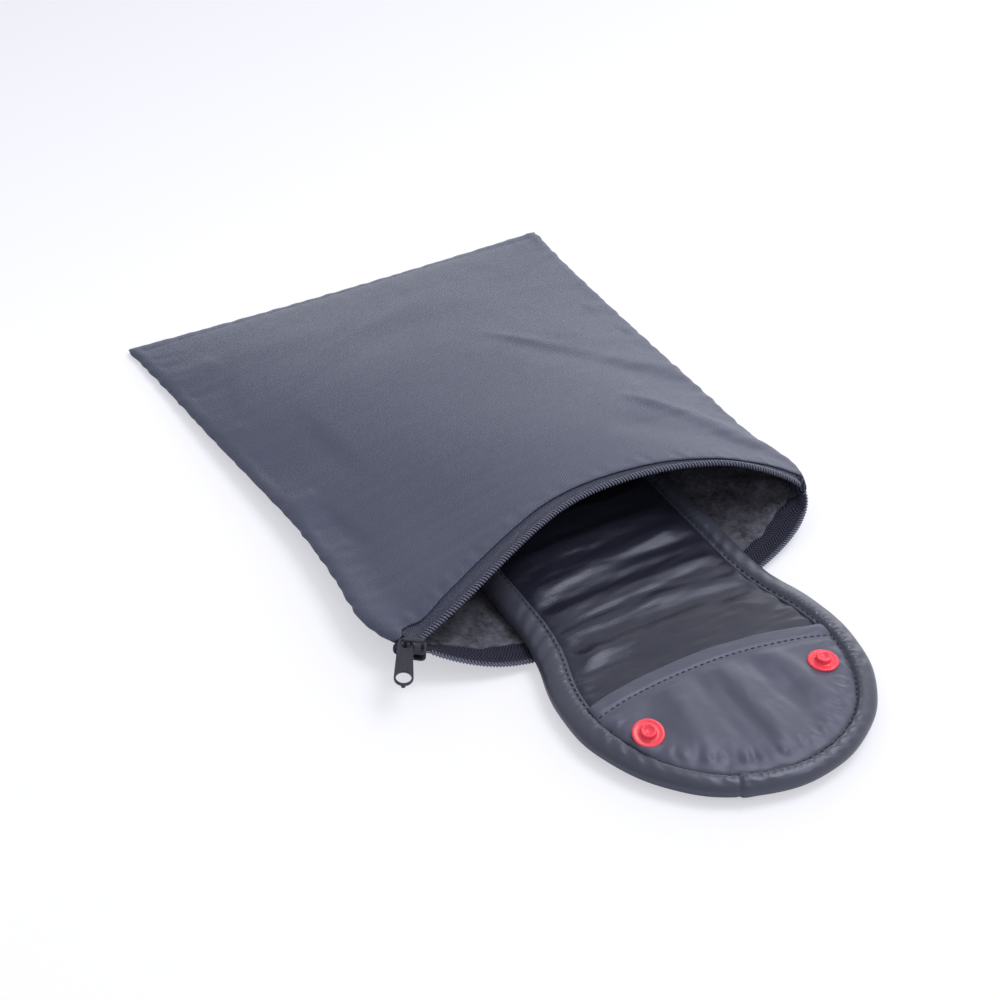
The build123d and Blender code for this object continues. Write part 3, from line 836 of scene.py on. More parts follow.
# ---------------------------------------------------------------------------
# Zip
# ---------------------------------------------------------------------------
class ZIP_OT_tapes(bpy.types.Operator):
    """Make the woven tapes of the zip and their folded ends"""

    bl_idname = "zip.tapes"
    bl_label = "Tapes"

    def execute(self, context):
        looks = context.scene.zip_looks
        fabric = tape_fabric("herringbone tape", tuple(looks.tape))
        # The lower tape and the tape ends take this darker copy of the same tape: painted shade
        inner = tape_fabric("herringbone tape inside", tuple(looks.inner), 0.1, 5.0, 0.0014)
        width = 12.0

        def tape_on(line, surface, depth, start, end, lift):
            t, w, n = lip_frame(line, surface)
            size = run_of(line)[-1]

            def place(a, b):
                s = start + (size - start - end) * a
                d = 0.15 + (width - 0.15) * b
                c = on_line(line, s)
                ways = unit(on_line(line, s, w))
                p = c + ways * d[:, None]
                z = surface(p[:, 0], p[:, 1]) + depth
                near = np.exp(-d / 1.6)
                p[:, 2] = z * (1 - near) + (c[:, 2] + lift) * near
                return p

            return placed_grid(260, 12, place, lambda a, b: (size * a, width * b))

        bm = tape_on(UPPER_COIL, top_z, -1.05, 2.0, 1.0, -0.1)
        piece = finished(bm, "upper_zip_tape", "pouch", fabric)
        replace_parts(thickened(piece, TAPE), "upper_tape")
        squashed(piece)
        bm = tape_on(LOWER_COIL, bottom_z, 1.35, 2.0, 1.0, 0.75)
        piece = finished(bm, "lower_zip_tape", "pouch", inner)
        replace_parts(thickened(piece, TAPE), "lower_tape")

        heading = SLIDER_HEADING
        low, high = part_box("left_end_tab")
        middle = (low + high) / 2 / MM

        def wrap(a, b):
            """A tape end folded round itself: flattened, soft and a little twisted."""
            turn = 2 * math.pi * a
            wide = (b - 0.5) * 6.4
            pinch = 1 - 0.25 * (2 * np.abs(b - 0.5)) ** 3
            u = 2.0 * np.cos(turn) * pinch * bulge(b)
            z = 1.1 * np.sin(turn) * pinch * bulge(b) + 0.3 * np.sin(5 * b)
            x = middle.x + 3.4 + u * math.cos(heading) - wide * math.sin(heading)
            y = middle.y + 0.9 + u * math.sin(heading) + wide * math.cos(heading)
            return np.stack([x, y, middle.z - 1.6 + z], axis=1)

        bm = placed_grid(24, 12, wrap, lambda a, b: (16 * a, 8 * b))
        piece = finished(bm, "left_tape_end", "pouch", inner, flip=True, close=0.01)
        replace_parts(thickened(piece, 0.35), "left_end_tab")

        low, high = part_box("right_end_tab")
        corner = (low + high) / 2 / MM

        def tuck(a, b):
            turn = 2 * math.pi * a
            return np.stack([
                corner.x - 0.9 + 1.9 * b + (2.0 + 1.6 * b) * np.cos(turn) * bulge(b), corner.y - 2.4 + 8.4 * b,
                corner.z - 1.7 + 1.6 * b + (3.1 - 0.3 * b) * np.sin(turn) * bulge(b),
            ], axis=1)

        bm = placed_grid(20, 8, tuck, lambda a, b: (8 * a, 5 * b))
        piece = finished(bm, "right_tape_end", "pouch", inner, flip=True, close=0.01)
        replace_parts(thickened(piece, 0.3), "right_end_tab")
        return {"FINISHED"}


def bulge(b):
    """0 at both ends of a folded end, 1 along most of it."""
    return np.maximum(1 - np.abs(2 * b - 1) ** 5, 0) ** 0.5


def coil_wire(line, surface, start, end, wide, high, shift, pitch):
    """The nylon wire of one side of the zip: a flattened helix along a lip."""
    t, w, n = lip_frame(line, surface)
    size = run_of(line)[-1]
    turns = int((size - start - end) / pitch)
    per_turn = 10
    k = np.arange(turns * per_turn + 1)
    angle = 2 * math.pi * k / per_turn
    s = start + pitch * k / per_turn
    c, side, up = on_line(line, s), unit(on_line(line, s, w)), unit(on_line(line, s, n))
    lean = 0.1 * pitch * np.sin(angle)[:, None] * unit(on_line(line, s, t))
    return c + side * (shift + wide * np.cos(angle))[:, None] + up * (high * np.sin(angle))[:, None] - lean


class ZIP_OT_coils(bpy.types.Operator):
    """Wind the two nylon coils and the closed chain behind the slider"""

    bl_idname = "zip.coils"
    bl_label = "Coils"

    def execute(self, context):
        looks = context.scene.zip_looks
        nylon = coil_nylon()
        pitch, wire = looks.pitch / MM, looks.wire / MM
        for name, node, line, surface, wide, high, shift in (
            ("upper_zip_coil", "upper_coil", UPPER_COIL, top_z, 1.12, 0.72, 0.0),
            ("lower_zip_coil", "lower_coil", LOWER_COIL, bottom_z, 0.8, 0.6, 0.35),
        ):
            helix = coil_wire(line, surface, 5.0, 1.0, wide, high, shift, pitch)
            piece = tube(name, [helix], wire, "pouch", nylon)
            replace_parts(piece, node)
            if node == "upper_coil":
                squashed(piece)
            core = on_line(line, np.linspace(3.0, run_of(line)[-1] - 0.5, 140))
            cord = tube(name + "_core", [core], 0.42, "pouch", nylon)
            if node == "upper_coil":
                squashed(cord)

        low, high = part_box("slider_body")
        middle = np.array((low + high) / 2 / MM) - (1.5, -0.9, 0)
        forward = np.array([math.cos(SLIDER_HEADING), math.sin(SLIDER_HEADING), 0])
        left = np.array([-forward[1], forward[0], 0])
        lines = []
        for side in (-1, 1):
            k = np.arange(31)
            angle = 2 * math.pi * k / 10
            s = -2.0 + pitch * k / 10 + (0.5 * pitch if side > 0 else 0)
            lines.append(
                middle + forward * s[:, None] + left * (side * (0.75 - 0.95 * np.cos(angle)))[:, None]
                + np.array([0, 0, 1]) * (0.5 * np.sin(angle))[:, None]
            )
        piece = tube("closed_coils", lines, wire * 0.9, "pouch", nylon)
        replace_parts(piece, "closed_chain")
        return {"FINISHED"}


class ZIP_OT_slider(bpy.types.Operator):
    """Paint the slider, its bridge and its pull, and finish the lock spring"""

    bl_idname = "zip.slider"
    bl_label = "Slider and pull"

    def execute(self, context):
        paint, steel = painted_metal(), spring_metal()
        for node, finish in (("slider_body", paint), ("slider_bridge", paint), ("pull_tab", paint),
                             ("lock_spring", steel)):
            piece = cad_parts[node]
            joined = piece.modifiers.new("Joined", "WELD")
            joined.merge_threshold = 0.002 * MM
            round_over = piece.modifiers.new("Edges", "BEVEL")
            round_over.width, round_over.segments = 0.18 * MM, 2
            round_over.limit_method, round_over.angle_limit = "ANGLE", math.radians(40)
            for slot in piece.material_slots:
                slot.material = finish
            if not piece.material_slots:
                piece.data.materials.append(finish)
        return {"FINISHED"}


# ---------------------------------------------------------------------------
# Padded panel
# ---------------------------------------------------------------------------
LOBE_RADIUS, LOBE_Y, WAIST_HALF, WAIST_Y = 59.5, -180.5, 50.0, -125.0
PANEL_INNER, PANEL_CORNER, PANEL_MIDDLE, PANEL_TURN = -58.0, 18.0, -4.4, math.radians(-2)
PAD_EDGE = 8.6           # inset of the pad from the panel's outer edge
PAD_FLOOR, PAD_DEPTH = 3.9, 4.0
PAD_SPLIT = 6.2          # above this height a point is on the pad's face
PAD_CEILING = 11.4
HEM_Y, HEM_RADIUS, HEM_WIDTH = -172.0, 237.0, 6.2


def to_world(x, y):
    """Panel plan to the frame: turned about the middle of the waist."""
    c, s = math.cos(PANEL_TURN), math.sin(PANEL_TURN)
    dy = y - WAIST_Y
    return PANEL_MIDDLE + x * c - dy * s, WAIST_Y + x * s + dy * c


def to_panel(x, y):
    c, s = math.cos(PANEL_TURN), math.sin(PANEL_TURN)
    dx, dy = x - PANEL_MIDDLE, y - WAIST_Y
    return dx * c + dy * s, WAIST_Y - dx * s + dy * c


def arc_to(start, heading, end, count=40):
    """Points on the arc from start, leaving along heading, to end."""
    start, heading, end = (np.array(v, float) for v in (start, heading, end))
    chord = end - start
    ahead = chord @ heading
    aside = chord - ahead * heading
    off = np.linalg.norm(aside)
    radius = (ahead ** 2 + off ** 2) / (2 * off)
    turn = 2 * math.atan2(off, ahead)
    angle = np.linspace(0, turn, count)[:, None]
    return start + radius * np.sin(angle) * heading + radius * (1 - np.cos(angle)) * aside / off


def outline(count=900):
    """Closed plan of the panel's outer edge, evenly spaced from the tip towards +X."""
    sway = (LOBE_RADIUS + WAIST_HALF) / 2
    angle = np.linspace(-math.pi / 2, 0, 90)[:, None]
    half = [
        np.hstack([LOBE_RADIUS * np.cos(angle), LOBE_Y + LOBE_RADIUS * np.sin(angle)]),
        arc_to((LOBE_RADIUS, LOBE_Y), (0, 1), (sway, (LOBE_Y + WAIST_Y) / 2))[1:],
        arc_to((WAIST_HALF, WAIST_Y), (0, -1), (sway, (LOBE_Y + WAIST_Y) / 2))[::-1][1:],
        arc_to((WAIST_HALF, PANEL_INNER - PANEL_CORNER), (0, 1), (WAIST_HALF - PANEL_CORNER, PANEL_INNER)),
    ]
    right = np.concatenate(half)
    left = right[::-1] * (-1, 1)
    loop = np.concatenate([right, left[:-1], right[:1]])
    return resampled(loop, count + 1)[:-1]


OUTLINE = outline()
_step = np.roll(OUTLINE, -1, axis=0) - np.roll(OUTLINE, 1, axis=0)
INWARD = unit(np.stack([-_step[:, 1], _step[:, 0]], axis=1))
PERIMETER = float(np.linalg.norm(np.roll(OUTLINE, -1, axis=0) - OUTLINE, axis=1).sum())


def binding_share(a):
    """The binding grows narrower round the tip."""
    shares = np.linspace(0, 1, len(OUTLINE) + 1)
    y = np.interp(np.asarray(a) % 1, shares, np.append(OUTLINE[:, 1], OUTLINE[0, 1]))
    return 1 - 0.24 * smooth_step(-y, 196, 232)


def rim(a, inset):
    """Plan points at the shares a round the outline, inset towards the middle, in the panel's own axes."""
    n = len(OUTLINE)
    inset = np.asarray(inset) * binding_share(a)
    at = (np.asarray(a) % 1) * n
    i, f = np.floor(at).astype(int) % n, (at - np.floor(at))[:, None]
    j = (i + 1) % n
    p = OUTLINE[i] * (1 - f) + OUTLINE[j] * f
    w = unit(INWARD[i] * (1 - f) + INWARD[j] * f)
    return p + w * inset[:, None]


JOINT_AT = float(np.linalg.norm(OUTLINE - (-24.0, -235.0), axis=1).argmin()) / len(OUTLINE)


def inside_by(x, y):
    """How far a point of the panel's plan lies inside the outline."""
    points = np.stack([x, y], axis=1)
    best = np.full(len(points), 1e9)
    for chunk in np.array_split(np.arange(len(points)), max(1, len(points) // 2000)):
        gap = np.linalg.norm(points[chunk, None, :] - OUTLINE[None, ::3, :], axis=2)
        nearest = gap.argmin(1)
        inside = ((points[chunk] - OUTLINE[::3][nearest]) * INWARD[::3][nearest]).sum(1) > 0
        best[chunk] = np.where(inside, gap.min(1), -gap.min(1))
    return best


def hem_y(x):
    return HEM_Y - (HEM_RADIUS - np.sqrt(HEM_RADIUS ** 2 - x ** 2))


def crumple(x, y, stretch, size, seed):
    """Uneven sharp creases, longer along x by stretch, spread about 0."""
    values = np.array([
        noise.ridged_multi_fractal(Vector((px / (size * stretch), py / size, seed)), 1.0, 2.1, 3, 1.0, 2.0)
        for px, py in zip(x, y)
    ])
    return (values - values.mean()) / (values.std() + 1e-6)


# start, end, width, height of the folds across the panel's bare face, in the panel's own axes
FACE_FOLDS = [
    ((-44, -84), (44, -78), 5.0, 1.3), ((-44, -98), (40, -92), 3.6, 1.1), ((-30, -107), (44, -104), 3.0, 0.8),
    ((-46, -116), (30, -108), 3.8, 1.3), ((-8, -118), (46, -120), 3.4, 0.9), ((-46, -131), (44, -126), 4.0, 1.4),
    ((-46, -142), (10, -138), 3.6, 0.8), ((0, -139), (48, -142), 3.4, 0.9), ((-48, -155), (20, -150), 5.0, 0.9),
    ((-48, -125), (40, -119), 3.0, -1.0), ((-46, -109), (36, -100), 2.6, -0.9), ((-46, -148), (46, -146), 3.5, -0.8),
    ((-50, -166), (-28, -150), 3.0, 0.8), ((-50, -160), (-18, -162), 3.0, -0.7), ((50, -165), (24, -152), 3.0, 0.6),
    ((-24, -186), (-12, -222), 6.0, 0.9), ((8, -186), (4, -224), 7.0, 0.8), ((28, -190), (30, -216), 5.0, 0.6),
    ((-5, -190), (-3, -225), 3.5, -0.8), ((20, -188), (19, -218), 3.0, -0.5), ((-44, -180), (-20, -176), 4.0, 0.5),
]


# start, end, width, height of the loose folds of the slip pocket, in the panel's own axes
POCKET_FOLDS = [
    ((-19, -176), (-25, -214), 4.5, 1.1), ((-9, -178), (-12, -224), 3.6, -0.9), ((2, -178), (2, -228), 4.5, 1.3),
    ((13, -180), (17, -224), 3.6, -1.0), ((22, -182), (29, -216), 4.0, 1.0), ((-30, -184), (-38, -200), 4.0, -0.7),
    ((-26, -196), (10, -190), 5.0, 0.5), ((0, -206), (30, -200), 4.0, -0.4),
]


CLOTH = {
    "quality": 7, "mass": 0.2, "tension_stiffness": 18, "compression_stiffness": 18, "shear_stiffness": 8,
    "bending_stiffness": 0.25, "tension_damping": 8, "compression_damping": 8, "bending_damping": 1.5,
    "air_damping": 2, "pin_stiffness": 5, "uniform_pressure_force": 3.0,
}
CLOTH_FRAMES = 24
CLOTH_REACH = 3.2     # the furthest that the cloth moves a point


def simulated(piece, cut_scale):
    """Lets the pad swell and crumple as sewn cloth: its rim is held, and the cut is larger than its place."""
    mesh = piece.data
    rest = corners_of(mesh)
    x, y = to_panel(rest[:, 0] / MM, rest[:, 1] / MM)
    inset = inside_by(x, y)
    held = (inset < PAD_EDGE + 1.4) | (rest[:, 2] / MM < PAD_SPLIT)
    group = piece.vertex_groups.new(name="held")
    group.add([int(i) for i in np.nonzero(held)[0]], 1.0, "REPLACE")
    piece.shape_key_add(name="Basis")
    key = piece.shape_key_add(name="cut")
    sx, sy = cut_scale
    cut = rest.copy()
    lobe = smooth_step(-y, 158, 176)
    centre = np.array([PANEL_MIDDLE, LOBE_Y]) * MM
    cut[:, 0] = centre[0] + (rest[:, 0] - centre[0]) * (sx + 0.02 * lobe)
    stretch_y = np.where(rest[:, 1] > centre[1], sy, 1.05)
    cut[:, 1] = centre[1] + (rest[:, 1] - centre[1]) * stretch_y
    key.data.foreach_set("co", cut.ravel())
    cloth = piece.modifiers.new("Cloth", "CLOTH")
    settings = cloth.settings
    for name, value in CLOTH.items():
        setattr(settings, name, value)
    settings.vertex_group_mass = "held"
    settings.rest_shape_key = key
    settings.use_pressure = True
    settings.effector_weights.gravity = 0
    cloth.collision_settings.use_collision = False
    cloth.point_cache.frame_start, cloth.point_cache.frame_end = 1, CLOTH_FRAMES
    scene = bpy.context.scene
    for frame_number in range(1, CLOTH_FRAMES + 1):
        scene.frame_set(frame_number)
    graph = bpy.context.evaluated_depsgraph_get()
    moved = corners_of(piece.evaluated_get(graph).data)
    piece.modifiers.remove(cloth)
    piece.shape_key_clear()
    scene.frame_set(1)
    move = moved - rest
    far = np.linalg.norm(move, axis=1, keepdims=True)
    cap = CLOTH_REACH * MM
    move *= cap * np.tanh(far / cap) / np.maximum(far, 1e-9)
    mesh.vertices.foreach_set("co", (rest + move).ravel())
    mesh.update()


def snap_spots():
    """Plan places of the two snaps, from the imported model."""
    for side in ("left", "right"):
        low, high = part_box(f"{side}_snap_stud")
        yield side, np.array((low + high) / 2 / MM)


def snap_dent(spot, x, y):
    """1 under a snap, 0 from a little outside it on."""
    return np.exp(-((np.hypot(x - spot[0], y - spot[1]) / 8.0) ** 4))


class PANEL_OT_pad(bpy.types.Operator):
    """Sew, stuff and crumple the panel's padding and its cover"""

    bl_idname = "panel.pad"
    bl_label = "Padding"

    def execute(self, context):
        looks = context.scene.panel_looks
        bm = bmesh.new()
        plan = rim(np.linspace(0, 1, 221)[:-1], np.full(220, PAD_EDGE))
        x, y = to_world(plan[:, 0], plan[:, 1])
        loop = [bm.verts.new((px, py, PAD_FLOOR)) for px, py in zip(x, y)]
        base = bm.faces.new(loop)
        raised = bmesh.ops.extrude_face_region(bm, geom=[base])["geom"]
        top = [v for v in raised if isinstance(v, bmesh.types.BMVert)]
        bmesh.ops.translate(bm, vec=(0, 0, PAD_DEPTH), verts=top)
        outward(bm)
        bmesh.ops.scale(bm, vec=(MM, MM, MM), verts=bm.verts)
        mesh = bpy.data.meshes.new("panel_pad")
        bm.to_mesh(mesh)
        bm.free()
        piece = bpy.data.objects.new("panel_pad", mesh)
        context.scene.collection.objects.link(piece)
        fine = with_modifier(piece, "REMESH", mode="VOXEL", voxel_size=looks.voxel)

        co = corners_of(fine)
        px, py = to_panel(co[:, 0] / MM, co[:, 1] / MM)
        inset = inside_by(px, py)
        crown = smooth_step(inset, PAD_EDGE, PAD_EDGE + 16)
        folds = 0.85 * sum(ridge(px, py, *fold) for fold in FACE_FOLDS)
        round_rim = np.degrees(np.arctan2(px, py - LOBE_Y))
        pucker = 0.5 * ripple(0.9 * round_rim, 0.3) * np.exp(-((inset - 12) / 5) ** 2)
        lift = crown + folds * smooth_step(inset, PAD_EDGE + 1, PAD_EDGE + 8) + pucker
        co[:, 2] += lift * MM * (co[:, 2] / MM > PAD_SPLIT)
        fine.vertices.foreach_set("co", co.ravel())
        fine.update()
        simulated(piece, (1.015, 1.06))

        smooth = with_modifier(piece, "SUBSURF", levels=1, render_levels=1)
        co = corners_of(smooth)
        x, y = co[:, 0] / MM, co[:, 1] / MM
        px, py = to_panel(x, y)
        loose = smooth_step(inside_by(px, py), PAD_EDGE, PAD_EDGE + 5) * smooth_step(co[:, 2] / MM, 6.0, 7.0)
        depth = 0.13 + 0.08 * smooth_step(py, -150, -120) - 0.10 * smooth_step(-py, 172, 182)
        co[:, 2] += depth * MM * loose * crumple(px + 0.15 * py, py - 0.1 * px, 6.5, 7.5, 2.4)
        for _, spot in snap_spots():
            level = snap_dent(spot, x, y) * (8.75 * MM - co[:, 2])
            co[:, 2] += np.where(co[:, 2] > PAD_SPLIT * MM, level, 0)
        co[:, 2] = np.minimum(co[:, 2], PAD_CEILING * MM)
        smooth.vertices.foreach_set("co", co.ravel())
        smooth.polygons.foreach_set("use_smooth", [True] * len(smooth.polygons))
        smooth.materials.clear()
        # The face's dark colour is partly painted shade
        smooth.materials.append(panel_fabric("glossy panel fabric", tuple(looks.fabric), 0.26, 0.32))
        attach(piece, "padded_panel")
        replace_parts(piece, "face_cover", "back_cover", "padding_core")
        return {"FINISHED"}


def pad_tree():
    """The pad's surface, to lay other pieces on."""
    pad = bpy.data.objects["panel_pad"]
    graph = bpy.context.evaluated_depsgraph_get()
    mesh = pad.evaluated_get(graph).to_mesh()
    faces = [tuple(p.vertices) for p in mesh.polygons]
    tree = BVHTree.FromPolygons([v.co / MM for v in mesh.vertices], faces)
    pad.evaluated_get(graph).to_mesh_clear()
    return tree


def laid_on(tree, x, y, usual):
    """Height of the pad's face at each plan point."""
    heights = []
    for px, py in zip(x, y):
        hit = tree.ray_cast(Vector((px, py, 40)), Vector((0, 0, -1)))
        heights.append(hit[0].z if hit[0] is not None else usual)
    return np.array(heights)


class PANEL_OT_pocket(bpy.types.Operator):
    """Lay the slip pocket with its folded hem on the panel's lobe"""

    bl_idname = "panel.pocket"
    bl_label = "Pocket"

    def execute(self, context):
        tree = pad_tree()
        middle = np.array([0.0, -203.0])
        loop = rim(np.linspace(0, 1, 1601)[:-1], np.full(1600, PAD_EDGE + 0.3))
        loop = loop[loop[:, 1] < hem_y(loop[:, 0])]
        ends = loop[np.argsort(loop[:, 1])[-2:]]
        hem_x = np.linspace(ends[:, 0].max(), ends[:, 0].min(), 400)
        hem = np.stack([hem_x, hem_y(hem_x)], axis=1)
        right = loop[loop[:, 0] >= 0]
        right = right[np.argsort(right[:, 1])]
        left = loop[loop[:, 0] < 0]
        left = left[np.argsort(-left[:, 1])]
        edge = np.concatenate([right, hem, left, right[:1]])
        edge = resampled(edge, 1201)

        def place(a, b):
            out = on_line(edge, a * run_of(edge)[-1])
            share = 1 - (1 - b) ** 1.25
            plan = middle + (out - middle) * share[:, None]
            x, y = to_world(plan[:, 0], plan[:, 1])
            from_hem = hem_y(plan[:, 0]) - plan[:, 1]
            past_hem = smooth_step(from_hem, HEM_WIDTH - 1.2, HEM_WIDTH + 2.5)
            band = smooth_step(from_hem, -0.2, 0.5) * (1 - past_hem)
            groove = np.exp(-((from_hem - HEM_WIDTH) / 0.8) ** 2)
            inset = inside_by(plan[:, 0], plan[:, 1])
            round_rim = np.degrees(np.arctan2(plan[:, 0], plan[:, 1] - LOBE_Y - 8))
            tuck = 0.55 * ripple(1.1 * round_rim, 1.3) * np.exp(-((inset - 12.5) / 3.5) ** 2)
            soft = sum(ridge(plan[:, 0], plan[:, 1], *fold) for fold in POCKET_FOLDS)
            loose = smooth_step(from_hem, HEM_WIDTH, HEM_WIDTH + 6)
            loose = loose * smooth_step(inset, PAD_EDGE + 0.5, PAD_EDGE + 5)
            for _, spot in snap_spots():
                loose = loose * (1 - snap_dent(spot, x, y))
            z = laid_on(tree, x, y, 6.0) + 0.65 + 0.55 * band - 0.38 * groove
            z = z + loose * (0.7 * soft + tuck + 0.5 + 0.10 * crumple(plan[:, 1], plan[:, 0], 2.0, 24.0, 7.1))
            z = z - 0.5 * (1 - smooth_step(from_hem, 0, 0.35))
            return np.stack([x, y, z], axis=1)

        bm = placed_grid(360, 56, place)
        # A lighter copy of the face's cloth, partly a painted highlight
        fabric = panel_fabric("pocket fabric", tuple(context.scene.panel_looks.pocket), 0.07, 0.42)
        piece = finished(bm, "slip_pocket", "padded_panel", fabric, close=0.02)
        thickened(piece, 0.4)
        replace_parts(piece, "pocket_panel", "pocket_hem")
        return {"FINISHED"}


# (inset from the outer edge, height) of the rolled binding, from under the pad round to its face
BINDING_PROFILE = np.array([
    (8.8, 3.6), (8.2, 2.9), (6.8, 2.55), (4.6, 2.5), (2.6, 2.6), (1.1, 3.2), (0.25, 4.2), (0.0, 5.2), (0.25, 6.3),
    (1.0, 7.3), (2.2, 8.1), (3.8, 8.75), (5.6, 9.15), (7.0, 9.2), (7.8, 8.95), (8.4, 8.45), (8.75, 7.9),
    (9.1, 7.7), (9.5, 7.85), (10.0, 7.95), (10.45, 7.65), (10.55, 7.0), (10.25, 6.4),
])


class PANEL_OT_binding(bpy.types.Operator):
    """Roll the bias binding round the panel's edge, with its puckers and its lapped joint"""

    bl_idname = "panel.binding"
    bl_label = "Binding"

    def execute(self, context):
        run = run_of(BINDING_PROFILE)

        def place(a, b):
            inset, z = on_line(BINDING_PROFILE, b * run[-1]).T
            s = a * PERIMETER
            a = a + JOINT_AT
            free = smooth_step(s, 0, 4) * (1 - smooth_step(s, PERIMETER - 4, PERIMETER))
            flank = np.exp(-((inset - 7.2) / 1.8) ** 2) * (z > 6.5)
            fine = np.sin(2 * math.pi * s / 2.9 + 1.5 * np.sin(s / 11)) * (0.5 + 0.5 * np.sin(s / 17 + 1))
            soft = np.sin(s / 9.0) * np.sin(s / 23.0 + 1) * 0.28
            bias = np.sin(2 * math.pi * (s / 7.3 + inset / 9.0) + 2 * np.sin(s / 31)) * np.sin(s / 19.0 + 2)
            lap = 0.5 * smooth_step(s, 0, 0.9) * (1 - smooth_step(s, 2, 7))
            lap = lap - 0.5 * np.exp(-((np.minimum(s, PERIMETER - s) / 0.7) ** 2))
            z = z + (0.26 * fine * flank + (soft + 0.16 * bias) * smooth_step(z, 6, 9)) * free
            inset = inset - lap * (inset < 2) + 0.22 * np.sin(s / 14.0) * np.sin(s / 5.3) * (inset < 3) * free
            z = z + lap * smooth_step(z, 4, 8)
            plan = rim(a, inset)
            x, y = to_world(plan[:, 0], plan[:, 1])
            return np.stack([x, y, z], axis=1)

        bm = placed_grid(620, 40, place, lambda a, b: (PERIMETER * a, run[-1] * b))
        piece = finished(bm, "panel_binding", "padded_panel", binding_fabric(), close=0.002)
        thickened(piece, 0.45)
        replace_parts(piece, "edge_binding")
        return {"FINISHED"}


STITCH_LIFT, STITCH_SUNK = 0.2, 0.35     # of the thread above the cloth, and of its ends in it


def running_stitches(line, length, gap):
    """Lines of thread, one for each stitch: out of the cloth, along it and in again."""
    size = run_of(line)[-1]
    stitches = []
    for k in range(int(size / (length + gap))):
        start = k * (length + gap)
        at = start + length * np.array([0.0, 0.06, 0.3, 0.7, 0.94, 1.0])
        p = on_line(line, at)
        p[:, 2] += (-STITCH_SUNK, 0.0, STITCH_LIFT, STITCH_LIFT, 0.0, -STITCH_SUNK)
        stitches.append(p)
    return stitches


class PANEL_OT_stitching(bpy.types.Operator):
    """Sew the binding down and the hem of the pocket"""

    bl_idname = "panel.stitching"
    bl_label = "Stitching"

    def execute(self, context):
        looks = context.scene.panel_looks
        # Near-black thread: painted shade along the stitch lines
        thread = sewing_thread("binding thread", tuple(looks.thread))
        size = looks.stitch / MM
        plan = rim(np.linspace(0, 1, 1500), np.full(1500, 9.05))
        x, y = to_world(plan[:, 0], plan[:, 1])
        line = np.stack([x, y, np.full_like(x, 7.78)], axis=1)
        stitches = running_stitches(line, size * 0.6, size * 0.4)
        tube("binding_stitches", stitches, 0.27, "padded_panel", thread, detail=1)

        tree = pad_tree()
        px = np.linspace(-49.5, 49.5, 500)
        py = hem_y(px) - HEM_WIDTH
        keep = inside_by(px, py) > PAD_EDGE + 1.2
        px, py = px[keep], py[keep]
        x, y = to_world(px, py)
        line = np.stack([x, y, laid_on(tree, x, y, 8) + 0.98], axis=1)
        stitches = running_stitches(line, size * 0.62, size * 0.38)
        tube("hem_stitches", stitches, 0.26, "padded_panel", thread, detail=1)
        return {"FINISHED"}


class PANEL_OT_snaps(bpy.types.Operator):
    """Turn the plastic snap studs and the caps behind them"""

    bl_idname = "panel.snaps"
    bl_label = "Snaps"

    def execute(self, context):
        plastic = red_plastic()
        stud = [(0, 2.35), (0.9, 2.4), (1.5, 2.75), (1.95, 3.1), (2.45, 3.15), (2.85, 2.9), (2.95, 2.4), (2.8, 1.6),
                (3.0, 1.2), (3.5, 1.05), (4.4, 1.12), (5.1, 1.3), (5.6, 1.2), (5.85, 0.8), (5.8, 0.3), (5.3, 0.0),
                (0, 0.0)]
        cap = [(0, 0), (4.6, 0.05), (5.5, 0.25), (5.95, 0.6), (5.9, 0.9), (5.4, 1.05), (0, 1.05)]
        for side, spot in snap_spots():
            low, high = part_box(f"{side}_snap_stud")
            base = low.z / MM
            bm = turned(stud, 56)
            if side == "left":
                way = Matrix.Rotation(context.scene.snap_looks.tilt, 4, Vector((0.82, -0.55, 0)))
                bmesh.ops.rotate(bm, cent=(0, 0, 0), matrix=way, verts=bm.verts)
            place = (spot[0], spot[1], base + (0.9 if side == "left" else 0.1))
            bmesh.ops.translate(bm, vec=place, verts=bm.verts)
            piece = finished(bm, f"{side}_stud", "padded_panel", plastic)
            smooth_rims(piece)
            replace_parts(piece, f"{side}_snap_stud")
            low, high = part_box(f"{side}_snap_cap")
            base = low.z / MM
            bm = turned(cap, 40)
            bmesh.ops.translate(bm, vec=(spot[0], spot[1], base), verts=bm.verts)
            piece = finished(bm, f"{side}_cap", "padded_panel", plastic)
            smooth_rims(piece)
            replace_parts(piece, f"{side}_snap_cap")
        return {"FINISHED"}


def smooth_rims(piece):
    finer = piece.modifiers.new("Smooth", "SUBSURF")
    finer.levels = finer.render_levels = 1


def turned(profile, steps):
    """A closed shape spun round the Z axis from (radius, height) points, from the axis back to the axis."""
    bm = bmesh.new()
    verts = [bm.verts.new((r, 0, z)) for r, z in profile]
    edges = [bm.edges.new(pair) for pair in zip(verts, verts[1:])]
    bmesh.ops.spin(bm, geom=verts + edges, cent=(0, 0, 0), axis=(0, 0, 1), dvec=(0, 0, 0), angle=2 * math.pi,
                   steps=steps, use_merge=True, use_duplicate=False)
    bmesh.ops.remove_doubles(bm, verts=bm.verts, dist=0.001)
    outward(bm)
    return bm


